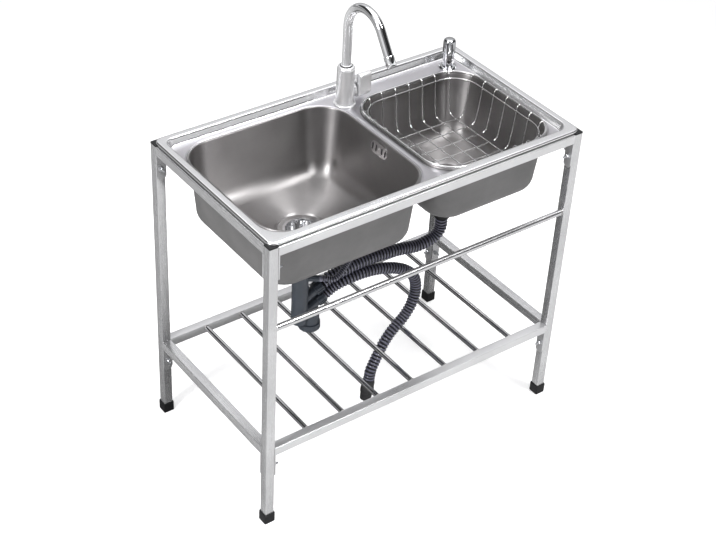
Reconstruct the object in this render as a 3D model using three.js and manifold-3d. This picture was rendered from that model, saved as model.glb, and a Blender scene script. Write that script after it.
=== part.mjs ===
// A free-standing double-bowl kitchen sink on a square-tube frame, in millimetres, +Z up.
// The origin is on the floor under the middle of the legs. +X is to the right of someone who
// stands at the sink, and -Y is the side where they stand.

import * as THREE from 'three';
import { mergeVertices } from 'three/addons/utils/BufferGeometryUtils.js';
import Module from 'manifold-3d';

const wasm = await Module();
wasm.setup();

// ---------------------------------------------------------------- driving dimensions

// Clearance between pieces that are not made as one.
const GAP = 0.3;

// Frame: square tube, measured over the outer faces of the legs.
const WIDTH = 820;
const DEPTH = 460;
const LEG_TOP = 751;
const TUBE = 22;
const TUBE_WALL = 1.2;
const FOOT_WALL = 2.2;
const FOOT_FLOOR = 5;
const FOOT_HEIGHT = 26;
const CAP_THICKNESS = 3.25;
const CAP_PLUG = 12;

// End tabs, welded to each rail and hanging down the leg that carries it.
const TAB_THICKNESS = 3;
const TAB_WIDTH = 20;
const TAB_DROP = 62;
const TAB_CHAMFER = 5;

// Shelf and towel rail.
const SHELF_TOP = 217;
const SLAT_COUNT = 7;
const SLAT_RADIUS = 6;
const SLAT_WALL = 1;
const SLAT_BELOW_TOP = 1;
const TOWEL_RAIL_Z = 541;
const TOWEL_RAIL_RADIUS = 7;

// Sink top: a pressed sheet with a flat rim and a deck sunk below it.
const SHEET = 1.2;
const RIM_TOP = 760;
const RIM_SKIRT = 5.5;
const RIM_INSET = 4;
const RIM_CORNER = 18;
// How far each side of the rim reaches past the tube under it.
const RIM_PAST_TUBE = { left: -0.5, right: -0.5, front: 3, rear: -0.5 };
const RIM_INNER_CORNERS = { frontLeft: 55, frontRight: 28, rearRight: 20, rearLeft: 20 };
const DECK_SUNK = 17;
const DECK_DRAFT = 5;

// Bowls: each is set by the land between it and the deck's edges.
const RIGHT_BOWL_WIDTH = 320;
const DIVIDER = 31;
const LAND_LEFT = 9.5;
const LAND_RIGHT = 12.5;
const LAND_FRONT = 8;
const LEFT_BOWL_LAND_REAR = 23.5;
const RIGHT_BOWL_LAND_REAR = 59.5;
const BOWL_CORNER = 72;
const LEFT_BOWL_DEPTH = 165;
const RIGHT_BOWL_DEPTH = 155;
const BOWL_DRAFT = 12;
const BOWL_FLOOR_RADIUS = 35;
const BOWL_FALL = 2;
const LIP_WIDTH = 5;
const LIP_HEIGHT = 1.9;

// Drains. The right one is off its bowl's middle.
const RIGHT_DRAIN_SHIFT = { x: -4, y: 3 };
const DRAIN_HOLE_RADIUS = 44.5;
const DRAIN_FLANGE_RADIUS = 55;
const DRAIN_RECESS = 3;
const DRAIN_CUP_RADIUS = 42;
const DRAIN_CUP_DEPTH = 44;
const DRAIN_WALL = 1.5;
const DRAIN_SPIGOT_RADIUS = 18;
const DRAIN_SPIGOT = 26;
const DRAIN_NUT_RADIUS = 52;
const DRAIN_NUT_HEIGHT = 12;
const STRAINER_RADIUS = 43;
const STRAINER_DEPTH = 24;
const PIPE_RADIUS = 19;
const PIPE_WALL = 2.5;
const TRAP_RADIUS = 23;
const TRAP_OFFSET = 28;
const TRAP_BOTTOM = 300;
const TRAP_TOP = 346;
const BRANCH_RISE = THREE.MathUtils.degToRad(26);
const BRANCH_RADIUS = 12.2;
const BRANCH_NUT_RADIUS = 16;
const BRANCH_NUT_LENGTH = 21;
const CROSS_BRANCH = { z: 379, length: 63.7 };
const OUTLET_BRANCH = { z: 342, length: 72 };
const OVERFLOW_PORT = { z: 447, length: 42, turn: THREE.MathUtils.degToRad(-34) };
const OVERFLOW_PORT_RADIUS = 7.5;
const TAILPIECE_END = 482;

// Ribbed hoses.
const HOSE_RADIUS = 13;
const HOSE_BORE = 9.8;
const HOSE_PITCH = 8.8;
const THIN_HOSE_RADIUS = 7;
const THIN_HOSE_BORE = 4.8;
const THIN_HOSE_PITCH = 11.5;
const RIB_DEPTH = 1.7;
const HOSE_SIDES = 8;
const FITTING_RADIUS = 16;
const FITTING_LENGTH = 54;

// Route of the free outlet hose, from the tee's lower branch to its end fitting.
const OUTLET_ROUTE = [
  [-63, -12, 396], [-28, -17, 402.5],
  [6, -21, 403.5], [34, -23.5, 400], [60, -26, 393], [86, -28, 382], [110, -30, 366],
  [127, -32, 347], [134, -34, 325], [134, -36, 304], [127, -38.5, 282], [115, -41, 262],
  [98, -44, 246], [78, -47.5, 234.5], [56, -51.5, 222], [36, -55.5, 205], [18, -59.5, 183],
  [3, -62.5, 161], [-7.4, -64.4, 141.8], [-9.7, -65.2, 130],
];
const OUTLET_END = [-12, -66, 118];

// Overflow in the left bowl's right wall.
const OVERFLOW_Y = -12;
const OVERFLOW_DROP = 23;
const OVERFLOW_COVER = { width: 58, height: 30, thickness: 1.5 };
const OVERFLOW_SLOT = { width: 5, height: 16 };
const OVERFLOW_SLOT_OFFSETS = [-22, -10, 10, 22];
const OVERFLOW_SCREW_RADIUS = 3.6;
const OVERFLOW_DUCT = { width: 46, height: 26, depth: 19, wall: 2 };
const OVERFLOW_FLANGE = { width: 56, height: 34, thickness: 2.5 };

// Mixer, standing on the deck behind the divider.
const FAUCET_REAR = 47.5;
const FAUCET_RIGHT_OF_DIVIDER = 8;
const FAUCET_RADIUS = 20.5;
const FAUCET_HEIGHT = 97;
const FAUCET_BASE_RADIUS = 25;
const FAUCET_BASE_HEIGHT = 4;
const SHANK_RADIUS = 13;
const SHANK_LENGTH = 62;
const FAUCET_NUT_RADIUS = 24;
const FAUCET_NUT_HEIGHT = 10;
const HOUSING_Z = 32;
const HOUSING_RADIUS = 17.5;
const HOUSING_END = 22;
const CORE_RADIUS = 13.6;
const CORE_BORE = 8.5;
const CORE_START = 6;
const CORE_END = 20;
const PIVOT_X = 15;
const PIVOT_BALL = 8.2;
const STEM_RADIUS = 3.5;
const LEVER_START = 25;
const LEVER_END = 57;
const LEVER_RADIUS = 20.5;
const LEVER_WALL = 1.8;
const LEVER_CAVITY = 11;
const LEVER_TOP = 41;
const LEVER_PLATE = 15;
const SPOUT_RADIUS = 10.4;
const SPOUT_BORE = 8.4;
const SPOUT_ARC = 64;
const SPOUT_RISE = 196;
const SPOUT_SWEEP = THREE.MathUtils.degToRad(146);
const SPOUT_TAIL = 51;
const SPOUT_SOCKET = 26;
const SPOUT_COLLAR_RADIUS = 13.6;
const SPOUT_COLLAR_HEIGHT = 3;
const AERATOR_RADIUS = 11.6;
const AERATOR_LENGTH = 24;

// Soap pump, in the rear right corner of the deck.
const SOAP_FROM_RIGHT = 36.5;
const SOAP_FROM_REAR = 36.5;
const SOAP_FLANGE_RADIUS = 21;
const SOAP_FLANGE_HEIGHT = 5;
const SOAP_COLLAR_RADIUS = 12.4;
const SOAP_COLLAR_HEIGHT = 34;
const SOAP_HEAD_RADIUS = 14.6;
const SOAP_HEAD_WALL = 1.4;
const SOAP_HEAD_BOTTOM = 22;
const SOAP_HEAD_TOP = 74;
const SOAP_PLUNGER_RADIUS = 4;
const SOAP_NOZZLE_RADIUS = 4.6;
const SOAP_NOZZLE_REACH = 44;
const SOAP_NOZZLE_Z = 64;
const SOAP_NOZZLE_TURN = THREE.MathUtils.degToRad(-129);
const SOAP_SHANK_RADIUS = 12;
const SOAP_SHANK_LENGTH = 40;
const SOAP_BOTTLE_RADIUS = 24;
const SOAP_BOTTLE_TOP = 52;
const SOAP_BOTTLE_HEIGHT = 100;
const SOAP_NECK_RADIUS = 17;

// Wire basket, hanging in the right bowl by its rim wire.
const BASKET_RIM_WIRE = 2.5;
const BASKET_WIRE = 1.5;
const BASKET_DEPTH = 100;
const BASKET_WALL_INSET = 7;
const BASKET_DRAFT = 11.5;
const BASKET_CORNER = 16;
const BASKET_WIRES_ACROSS = 7;
const BASKET_WIRES_ALONG = 7;
// From the bowl's edge to the nearest parallel wire.
const BASKET_END_SPACE = { across: 48, along: 46 };

// Facets.
const CORNER_STEPS = 5;
const ROUND_SIDES = 16;
const SMALL_SIDES = 10;

// ---------------------------------------------------------------- what follows from them

const HALF_WIDTH = WIDTH / 2;
const HALF_DEPTH = DEPTH / 2;
const LEG_X = HALF_WIDTH - TUBE / 2;
const LEG_Y = HALF_DEPTH - TUBE / 2;
const DECK_Z = RIM_TOP - DECK_SUNK;

const RIM = {
  x0: RIM_INSET - HALF_WIDTH,
  x1: HALF_WIDTH - RIM_INSET,
  y0: RIM_INSET - HALF_DEPTH,
  y1: HALF_DEPTH - RIM_INSET,
};
const WELL = {
  x0: TUBE - HALF_WIDTH + RIM_PAST_TUBE.left,
  x1: HALF_WIDTH - TUBE - RIM_PAST_TUBE.right,
  y0: TUBE - HALF_DEPTH + RIM_PAST_TUBE.front,
  y1: HALF_DEPTH - TUBE - RIM_PAST_TUBE.rear,
};
const DECK = {
  x0: WELL.x0 + DECK_DRAFT,
  x1: WELL.x1 - DECK_DRAFT,
  y0: WELL.y0 + DECK_DRAFT,
  y1: WELL.y1 - DECK_DRAFT,
};

const RIGHT_BOWL = {
  x0: DECK.x1 - LAND_RIGHT - RIGHT_BOWL_WIDTH,
  x1: DECK.x1 - LAND_RIGHT,
  y0: DECK.y0 + LAND_FRONT,
  y1: DECK.y1 - RIGHT_BOWL_LAND_REAR,
  floor: DECK_Z - RIGHT_BOWL_DEPTH,
};
const LEFT_BOWL = {
  x0: DECK.x0 + LAND_LEFT,
  x1: RIGHT_BOWL.x0 - DIVIDER,
  y0: DECK.y0 + LAND_FRONT,
  y1: DECK.y1 - LEFT_BOWL_LAND_REAR,
  floor: DECK_Z - LEFT_BOWL_DEPTH,
};
for (const bowl of [LEFT_BOWL, RIGHT_BOWL]) {
  bowl.x = (bowl.x0 + bowl.x1) / 2;
  bowl.y = (bowl.y0 + bowl.y1) / 2;
  bowl.drain = { x: bowl.x, y: bowl.y };
  bowl.wallTop = DECK_Z - 6;
  bowl.wallBottom = bowl.floor + DRAIN_RECESS + BOWL_FALL + BOWL_FLOOR_RADIUS;
}

RIGHT_BOWL.drain.x += RIGHT_DRAIN_SHIFT.x;
RIGHT_BOWL.drain.y += RIGHT_DRAIN_SHIFT.y;

const FAUCET_X = (LEFT_BOWL.x1 + RIGHT_BOWL.x0) / 2 + FAUCET_RIGHT_OF_DIVIDER;
const FAUCET_Y = DECK.y1 - FAUCET_REAR;
const SOAP_X = DECK.x1 - SOAP_FROM_RIGHT;
const SOAP_Y = DECK.y1 - SOAP_FROM_REAR;

// ---------------------------------------------------------------- finishes

const steel = (color, roughness) =>
  new THREE.MeshStandardMaterial({ color, roughness, metalness: 1 });
const plastic = (color, roughness) =>
  new THREE.MeshStandardMaterial({ color, roughness, metalness: 0 });

const FINISH = {
  tube: () => steel(0xc9cacb, 0.32),
  sheet: () => steel(0xb9b8bb, 0.38),
  chrome: () => steel(0xe2e4e6, 0.08),
  wire: () => steel(0xcfd0d1, 0.18),
  black: () => plastic(0x151515, 0.5),
  slate: () => plastic(0x3c4653, 0.45),
  hose: () => plastic(0x2a2a36, 0.35),
  white: () => plastic(0xdcdcd8, 0.5),
};

// ---------------------------------------------------------------- geometry helpers

/** A geometry with merged corners and without triangles of no area. */
function merged(geometry) {
  const bare = new THREE.BufferGeometry();
  bare.setAttribute('position', geometry.getAttribute('position'));
  bare.setIndex(geometry.getIndex());
  const joined = mergeVertices(bare, 1e-4);
  const corners = joined.getIndex().array;
  const kept = [];
  for (let i = 0; i < corners.length; i += 3) {
    const [a, b, c] = [corners[i], corners[i + 1], corners[i + 2]];
    if (a !== b && b !== c && c !== a) {
      kept.push(a, b, c);
    }
  }
  joined.setIndex(kept);
  return joined;
}

function toSolid(geometry) {
  const closed = merged(geometry);
  return new wasm.Manifold(new wasm.Mesh({
    numProp: 3,
    vertProperties: new Float32Array(closed.getAttribute('position').array),
    triVerts: new Uint32Array(closed.getIndex().array),
  }));
}

function toGeometry(solid) {
  const mesh = solid.getMesh();
  const geometry = new THREE.BufferGeometry();
  geometry.setAttribute('position', new THREE.BufferAttribute(new Float32Array(mesh.vertProperties), 3));
  geometry.setIndex(new THREE.BufferAttribute(new Uint32Array(mesh.triVerts), 1));
  geometry.computeVertexNormals();
  return geometry;
}

/** The first geometry with the others joined to it and the cuts taken out. */
function combine(base, { add = [], cut = [] } = {}) {
  let solid = toSolid(base);
  for (const piece of add) {
    solid = solid.add(toSolid(piece));
  }
  for (const piece of cut) {
    solid = solid.subtract(toSolid(piece));
  }
  return toGeometry(solid);
}

function box(x0, x1, y0, y1, z0, z1) {
  const geometry = new THREE.BoxGeometry(x1 - x0, y1 - y0, z1 - z0);
  return geometry.translate((x0 + x1) / 2, (y0 + y1) / 2, (z0 + z1) / 2);
}

/** A cylinder along an axis, 'x', 'y' or 'z', from one place on it to another. */
function rod(axis, from, to, radius, sides = ROUND_SIDES, topRadius = radius) {
  const geometry = new THREE.CylinderGeometry(topRadius, radius, to - from, sides);
  geometry.translate(0, (from + to) / 2, 0);
  if (axis === 'x') {
    geometry.rotateZ(-Math.PI / 2);
  }
  if (axis === 'z') {
    geometry.rotateX(Math.PI / 2);
  }
  return geometry;
}

/** A profile of [radius, height] pairs turned about the Z axis. It closes on itself. */
function turned(profile, sides = ROUND_SIDES) {
  const points = profile.map(([radius, height]) => new THREE.Vector2(radius, height));
  if (THREE.ShapeUtils.area(points) < 0) {
    points.reverse();
  }
  if (points[0].x > 0 || points[points.length - 1].x > 0) {
    points.push(points[0].clone());
  }
  const geometry = new THREE.LatheGeometry(points, sides);
  return geometry.rotateX(Math.PI / 2);
}

/** The corners of a rounded rectangle grown by an offset, counterclockwise from its front left. */
function roundedOutline(area, radii, offset = 0, steps = CORNER_STEPS) {
  const { x0, x1, y0, y1 } = area;
  const arcs = [
    [x0, y0, 1, 1, radii.frontLeft, Math.PI],
    [x1, y0, -1, 1, radii.frontRight, 1.5 * Math.PI],
    [x1, y1, -1, -1, radii.rearRight, 0],
    [x0, y1, 1, -1, radii.rearLeft, 0.5 * Math.PI],
  ];
  const points = [];
  for (const [cornerX, cornerY, inX, inY, radius, start] of arcs) {
    const grown = radius + offset;
    for (let i = 0; i <= steps; i += 1) {
      const angle = start + (i / steps) * Math.PI / 2;
      points.push(new THREE.Vector2(
        cornerX + inX * radius + grown * Math.cos(angle),
        cornerY + inY * radius + grown * Math.sin(angle),
      ));
    }
  }
  return points;
}

const evenRadii = (radius) => ({
  frontLeft: radius, frontRight: radius, rearRight: radius, rearLeft: radius,
});

const atHeight = (outline, z) => outline.map((point) => new THREE.Vector3(point.x, point.y, z));

/** Triangles between rings of equally many points. A looped skin joins its last ring to its first. */
function ringSkin(rings, looped) {
  const count = rings[0].length;
  const positions = rings.flat().flatMap((point) => [point.x, point.y, point.z]);
  const index = [];
  const bands = looped ? rings.length : rings.length - 1;
  for (let i = 0; i < bands; i += 1) {
    const here = i * count;
    const there = ((i + 1) % rings.length) * count;
    for (let j = 0; j < count; j += 1) {
      const next = (j + 1) % count;
      index.push(here + j, here + next, there + next);
      index.push(here + j, there + next, there + j);
    }
  }
  if (!looped) {
    const top = (rings.length - 1) * count;
    for (let j = 1; j < count - 1; j += 1) {
      index.push(0, j + 1, j);
      index.push(top, top + j, top + j + 1);
    }
  }
  const geometry = new THREE.BufferGeometry();
  geometry.setAttribute('position', new THREE.Float32BufferAttribute(positions, 3));
  geometry.setIndex(index);
  geometry.computeVertexNormals();
  return geometry;
}

/** A solid through convex rings, from the lowest to the highest. */
const loft = (rings) => ringSkin(rings, false);

/** A path through given points, with a step at each of them. */
class ListedPath extends THREE.Curve {
  constructor(points) {
    super();
    this.points = points;
  }

  getPoint(t, target = new THREE.Vector3()) {
    const last = this.points.length - 1;
    const place = THREE.MathUtils.clamp(t * last, 0, last);
    const start = Math.min(Math.floor(place), last - 1);
    return target.lerpVectors(this.points[start], this.points[start + 1], place - start);
  }

  getPointAt(t, target) {
    return this.getPoint(t, target);
  }

  getTangentAt(t, target = new THREE.Vector3()) {
    const last = this.points.length - 1;
    const place = Math.round(t * last);
    const ahead = this.points[Math.min(place + 1, last)];
    const behind = this.points[Math.max(place - 1, 0)];
    return target.subVectors(ahead, behind).normalize();
  }
}

function circleShape(radius, sides) {
  const shape = new THREE.Shape();
  for (let i = 0; i <= sides; i += 1) {
    const angle = (i / sides) * 2 * Math.PI;
    const place = [radius * Math.cos(angle), radius * Math.sin(angle)];
    if (i === 0) {
      shape.moveTo(...place);
    } else {
      shape.lineTo(...place);
    }
  }
  return shape;
}

/** A round bar along a list of points. */
function alongPoints(points, radius, sides) {
  return new THREE.ExtrudeGeometry(circleShape(radius, sides), {
    steps: points.length - 1,
    extrudePath: new ListedPath(points),
    curveSegments: 1,
  });
}

/** The least distance that a hose keeps to itself, from points along its middle. */
function leastSelfGap(middle, radius) {
  let least = Infinity;
  const reach = 4 * radius;
  for (let i = 0; i < middle.length; i += 1) {
    let along = 0;
    for (let j = i + 1; j < middle.length; j += 1) {
      along += middle[j].distanceTo(middle[j - 1]);
      if (along > reach) {
        least = Math.min(least, middle[i].distanceTo(middle[j]) - 2 * radius);
      }
    }
  }
  return least;
}

/** A ribbed hose with its bore: a crest and a root ring to each rib, and a bore ring every 5 ribs. */
function ribbedHose(name, points, radius, bore, pitch) {
  const curve = new THREE.CatmullRomCurve3(points, false, 'centripetal');
  curve.arcLengthDivisions = 600;
  const ribs = Math.round(curve.getLength() / pitch);
  const steps = 2 * ribs;
  const frames = curve.computeFrenetFrames(steps, false);
  const middle = curve.getSpacedPoints(steps);
  const ring = (i, size) => Array.from({ length: HOSE_SIDES }, (_, side) => {
    const angle = (side / HOSE_SIDES) * 2 * Math.PI;
    return middle[i].clone()
      .addScaledVector(frames.normals[i], size * Math.cos(angle))
      .addScaledVector(frames.binormals[i], size * Math.sin(angle));
  });
  const outside = middle.map((_, i) => ring(i, i % 2 === 0 ? radius - RIB_DEPTH : radius));
  const inside = [];
  for (let i = steps; i > 0; i -= 10) {
    inside.push(ring(i, bore));
  }
  inside.push(ring(0, bore));
  console.log(`${name}: ${ribs} ribs, ${curve.getLength().toFixed(1)} mm long, least gap to itself `
    + `${leastSelfGap(middle, radius).toFixed(1)} mm`);
  return ringSkin([...outside, ...inside], true);
}

// ---------------------------------------------------------------- the scene

const unit = new THREE.Group();

/** A named mesh, put in a group, with a place and a turn about Z where they are given. */
function place(name, geometry, material, { at = [0, 0, 0], turn = 0, parent = unit } = {}) {
  const mesh = new THREE.Mesh(geometry, material());
  mesh.name = name;
  mesh.position.set(...at);
  mesh.rotation.z = turn;
  parent.add(mesh);
  return mesh;
}

// ---------------------------------------------------------------- frame

const CORNERS = [
  ['front_left', -1, -1],
  ['front_right', 1, -1],
  ['rear_left', -1, 1],
  ['rear_right', 1, 1],
];

const square = (half) => ({ x0: -half, x1: half, y0: -half, y1: half });

function legTube() {
  const outer = TUBE / 2;
  const inner = outer - TUBE_WALL;
  return combine(box(-outer, outer, -outer, outer, FOOT_FLOOR, LEG_TOP), {
    cut: [box(-inner, inner, -inner, inner, FOOT_FLOOR - 1, LEG_TOP + 1)],
  });
}

/** A cup that the leg stands in, with rounded outer edges. */
function footCup() {
  const half = TUBE / 2 + GAP + FOOT_WALL;
  const hole = TUBE / 2 + GAP;
  const corner = evenRadii(2.5);
  const rings = [[0, -1], [1, 0], [FOOT_HEIGHT - 0.8, 0], [FOOT_HEIGHT, -0.8]].map(
    ([z, offset]) => atHeight(roundedOutline(square(half), corner, offset, 1), z),
  );
  return combine(loft(rings), {
    cut: [box(-hole, hole, -hole, hole, FOOT_FLOOR, FOOT_HEIGHT + 1)],
  });
}

/** A flat cap with a hollow plug that goes down into the leg. */
function legCap() {
  const half = TUBE / 2 + 0.2;
  const plug = TUBE / 2 - TUBE_WALL - GAP;
  const hollow = plug - 2;
  const corner = evenRadii(1.5);
  const rings = [[0, 0], [CAP_THICKNESS - 0.7, 0], [CAP_THICKNESS, -0.7]].map(
    ([z, offset]) => atHeight(roundedOutline(square(half), corner, offset, 1), LEG_TOP + z),
  );
  return combine(loft(rings), {
    add: [box(-plug, plug, -plug, plug, LEG_TOP - CAP_PLUG, LEG_TOP + 1)],
    cut: [box(-hollow, hollow, -hollow, hollow, LEG_TOP - CAP_PLUG - 1, LEG_TOP - 1)],
  });
}

/** A rail along X with its end tabs, centred, with its top at z = 0. */
function rail(length) {
  const half = length / 2;
  const inner = TUBE / 2 - TUBE_WALL;
  const tab = new THREE.Shape();
  const low = -TUBE - TAB_DROP;
  const side = TAB_WIDTH / 2;
  tab.moveTo(-side, 0);
  tab.lineTo(-side, low + TAB_CHAMFER);
  tab.lineTo(TAB_CHAMFER - side, low);
  tab.lineTo(side - TAB_CHAMFER, low);
  tab.lineTo(side, low + TAB_CHAMFER);
  tab.lineTo(side, 0);
  const tabAt = (x) => new THREE.ExtrudeGeometry(tab, { depth: TAB_THICKNESS, bevelEnabled: false })
    .rotateX(Math.PI / 2)
    .rotateZ(Math.PI / 2)
    .translate(x, 0, 0);
  const bore = box(-half - 1, half + 1, -inner, inner, TUBE_WALL - TUBE, -TUBE_WALL);
  return combine(box(-half, half, -TUBE / 2, TUBE / 2, -TUBE, 0), {
    add: [tabAt(-half), tabAt(half - TAB_THICKNESS)],
    cut: [bore],
  });
}

function buildFrame() {
  for (const [corner, sideX, sideY] of CORNERS) {
    const at = [sideX * LEG_X, sideY * LEG_Y, 0];
    place(`leg_${corner}`, legTube(), FINISH.tube, { at });
    place(`foot_${corner}`, footCup(), FINISH.black, { at });
    place(`leg_cap_${corner}`, legCap(), FINISH.black, { at });
  }
  const across = WIDTH - 2 * TUBE;
  const along = DEPTH - 2 * TUBE;
  for (const [level, top] of [['top', LEG_TOP], ['shelf', SHELF_TOP]]) {
    place(`${level}_rail_front`, rail(across), FINISH.tube, { at: [0, -LEG_Y, top] });
    place(`${level}_rail_rear`, rail(across), FINISH.tube, { at: [0, LEG_Y, top] });
    place(`${level}_rail_left`, rail(along), FINISH.tube, { at: [-LEG_X, 0, top], turn: Math.PI / 2 });
    place(`${level}_rail_right`, rail(along), FINISH.tube, { at: [LEG_X, 0, top], turn: Math.PI / 2 });
  }
  const ring = (from, to, radius, wall) => combine(rod('y', from, to, radius, SMALL_SIDES), {
    cut: [rod('y', from - 1, to + 1, radius - wall, SMALL_SIDES)],
  });
  const slat = ring(-along / 2, along / 2, SLAT_RADIUS, SLAT_WALL);
  const spacing = across / (SLAT_COUNT + 1);
  for (let i = 1; i <= SLAT_COUNT; i += 1) {
    place(`shelf_slat_${i}`, slat, FINISH.tube, {
      at: [i * spacing - across / 2, 0, SHELF_TOP - SLAT_BELOW_TOP - SLAT_RADIUS],
    });
  }
  const towelRail = ring(-across / 2, across / 2, TOWEL_RAIL_RADIUS, TUBE_WALL);
  place('towel_rail', towelRail, FINISH.tube, {
    at: [0, -LEG_Y, TOWEL_RAIL_Z], turn: -Math.PI / 2,
  });
}

// ---------------------------------------------------------------- sink top and bowls

const DECK_HOLE_SLACK = SHEET + GAP + 0.2;

/** The rim with its turned-down skirt, the step down and the deck, in one sheet. */
function sinkDeck() {
  const rimCorners = evenRadii(RIM_CORNER);
  const skirtBottom = RIM_TOP - RIM_SKIRT;
  const layer = (area, radii, offset, z) => atHeight(roundedOutline(area, radii, offset, 4), z);
  const slab = loft([
    layer(RIM, rimCorners, 0, skirtBottom),
    layer(RIM, rimCorners, 0, RIM_TOP - 1.2),
    layer(RIM, rimCorners, -1.2, RIM_TOP),
  ]);
  const underRim = loft([
    layer(RIM, rimCorners, -SHEET, skirtBottom - 1),
    layer(RIM, rimCorners, -SHEET, RIM_TOP - SHEET),
  ]);
  const pan = loft([
    layer(WELL, RIM_INNER_CORNERS, SHEET - DECK_DRAFT, DECK_Z - SHEET),
    layer(WELL, RIM_INNER_CORNERS, SHEET, RIM_TOP - SHEET / 2),
  ]);
  const inside = loft([
    layer(WELL, RIM_INNER_CORNERS, -DECK_DRAFT - 1.8, DECK_Z),
    layer(WELL, RIM_INNER_CORNERS, -DECK_DRAFT, DECK_Z + 1.8),
    layer(WELL, RIM_INNER_CORNERS, -0.6, RIM_TOP - 1.2),
    layer(WELL, RIM_INNER_CORNERS, 0.6, RIM_TOP),
    layer(WELL, RIM_INNER_CORNERS, 0.6, RIM_TOP + 1),
  ]);
  const bowlHole = (bowl) => loft([DECK_Z - 3, DECK_Z + 1].map(
    (z) => atHeight(roundedOutline(bowl, evenRadii(BOWL_CORNER), DECK_HOLE_SLACK), z),
  ));
  const roundHole = (x, y, radius) => rod('z', DECK_Z - 3, DECK_Z + 1, radius).translate(x, y, 0);
  return combine(combine(slab, { cut: [underRim] }), {
    add: [pan],
    cut: [
      inside,
      bowlHole(LEFT_BOWL),
      bowlHole(RIGHT_BOWL),
      roundHole(FAUCET_X, FAUCET_Y, SHANK_RADIUS + 1),
      roundHole(SOAP_X, SOAP_Y, SOAP_SHANK_RADIUS + 1),
    ],
  });
}

/** A ring of points about a bowl's drain, as many as its outline has and in the same order. */
function drainRing(bowl, radius, z) {
  const perCorner = CORNER_STEPS + 1;
  const count = 4 * perCorner;
  return Array.from({ length: count }, (_, i) => {
    const angle = 1.25 * Math.PI + ((i - (perCorner - 1) / 2) / count) * 2 * Math.PI;
    const { x, y } = bowl.drain;
    return new THREE.Vector3(x + radius * Math.cos(angle), y + radius * Math.sin(angle), z);
  });
}

/** A drawn bowl: a lip on the deck, walls with draft, a rounded foot and a recess round the drain. */
function bowlShell(bowl) {
  const radii = evenRadii(BOWL_CORNER);
  const layer = (offset, z) => atHeight(roundedOutline(bowl, radii, offset), z);
  const floor = bowl.floor + DRAIN_RECESS;
  const round = [1 / 3, 2 / 3].map((share) => share * Math.PI / 2);
  const foot = (angle, sheet) => {
    const radius = BOWL_FLOOR_RADIUS + sheet;
    const across = BOWL_DRAFT + BOWL_FLOOR_RADIUS - radius * Math.cos(angle);
    return layer(-across, bowl.wallBottom - radius * Math.sin(angle));
  };
  const inside = [
    layer(1.2, DECK_Z + LIP_HEIGHT),
    layer(0, bowl.wallTop),
    layer(-BOWL_DRAFT, bowl.wallBottom),
    ...round.map((angle) => foot(angle, 0)),
    layer(-BOWL_DRAFT - BOWL_FLOOR_RADIUS, floor + BOWL_FALL),
    drainRing(bowl, DRAIN_FLANGE_RADIUS + 5, floor),
    drainRing(bowl, DRAIN_FLANGE_RADIUS + 2.5, bowl.floor),
    drainRing(bowl, DRAIN_HOLE_RADIUS, bowl.floor),
  ];
  const outside = [
    drainRing(bowl, DRAIN_HOLE_RADIUS, bowl.floor - SHEET),
    drainRing(bowl, DRAIN_FLANGE_RADIUS + 3.2, bowl.floor - SHEET),
    drainRing(bowl, DRAIN_FLANGE_RADIUS + 5.7, floor - SHEET),
    layer(-BOWL_DRAFT - BOWL_FLOOR_RADIUS, floor + BOWL_FALL - SHEET),
    ...round.toReversed().map((angle) => foot(angle, SHEET)),
    layer(SHEET - BOWL_DRAFT, bowl.wallBottom),
    layer(SHEET, bowl.wallTop),
    layer(SHEET, DECK_Z + GAP),
    layer(LIP_WIDTH, DECK_Z + GAP),
    layer(LIP_WIDTH - 1, DECK_Z + LIP_HEIGHT),
  ];
  return ringSkin([...inside, ...outside], true);
}

// The left bowl's right wall leans by its draft. The overflow's parts lie along it.
const WALL_LEAN = Math.atan(BOWL_DRAFT / (LEFT_BOWL.wallTop - LEFT_BOWL.wallBottom));
const OVERFLOW_Z = DECK_Z - OVERFLOW_DROP;
const OVERFLOW_X = LEFT_BOWL.x1 - (LEFT_BOWL.wallTop - OVERFLOW_Z) * Math.tan(WALL_LEAN);

function leftBowlShell() {
  const port = rod('x', -8, 8, 14, 20).rotateY(WALL_LEAN).translate(OVERFLOW_X, OVERFLOW_Y, OVERFLOW_Z);
  return combine(bowlShell(LEFT_BOWL), { cut: [port] });
}

/** A plate in the YZ plane with round ends, and its holes, from x = 0 to its thickness. */
function roundEndedPlate(width, height, thickness, holes = []) {
  const shape = new THREE.Shape();
  const straight = (width - height) / 2;
  shape.moveTo(-straight, -height / 2);
  shape.lineTo(straight, -height / 2);
  shape.absarc(straight, 0, height / 2, -Math.PI / 2, Math.PI / 2);
  shape.lineTo(-straight, height / 2);
  shape.absarc(-straight, 0, height / 2, Math.PI / 2, 1.5 * Math.PI);
  shape.holes.push(...holes);
  return new THREE.ExtrudeGeometry(shape, { depth: thickness, bevelEnabled: false, curveSegments: 3 })
    .rotateX(Math.PI / 2)
    .rotateZ(Math.PI / 2);
}

function slot(offset) {
  const { width, height } = OVERFLOW_SLOT;
  const path = new THREE.Path();
  path.absarc(offset, height / 2 - width / 2, width / 2, 0, Math.PI);
  path.absarc(offset, width / 2 - height / 2, width / 2, Math.PI, 2 * Math.PI);
  return path;
}

function overflowCover() {
  const { width, height, thickness } = OVERFLOW_COVER;
  const plate = roundEndedPlate(width, height, thickness, OVERFLOW_SLOT_OFFSETS.map(slot));
  const screw = rod('x', -1.2, thickness, OVERFLOW_SCREW_RADIUS, 8);
  return combine(plate, { add: [screw] });
}

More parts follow.
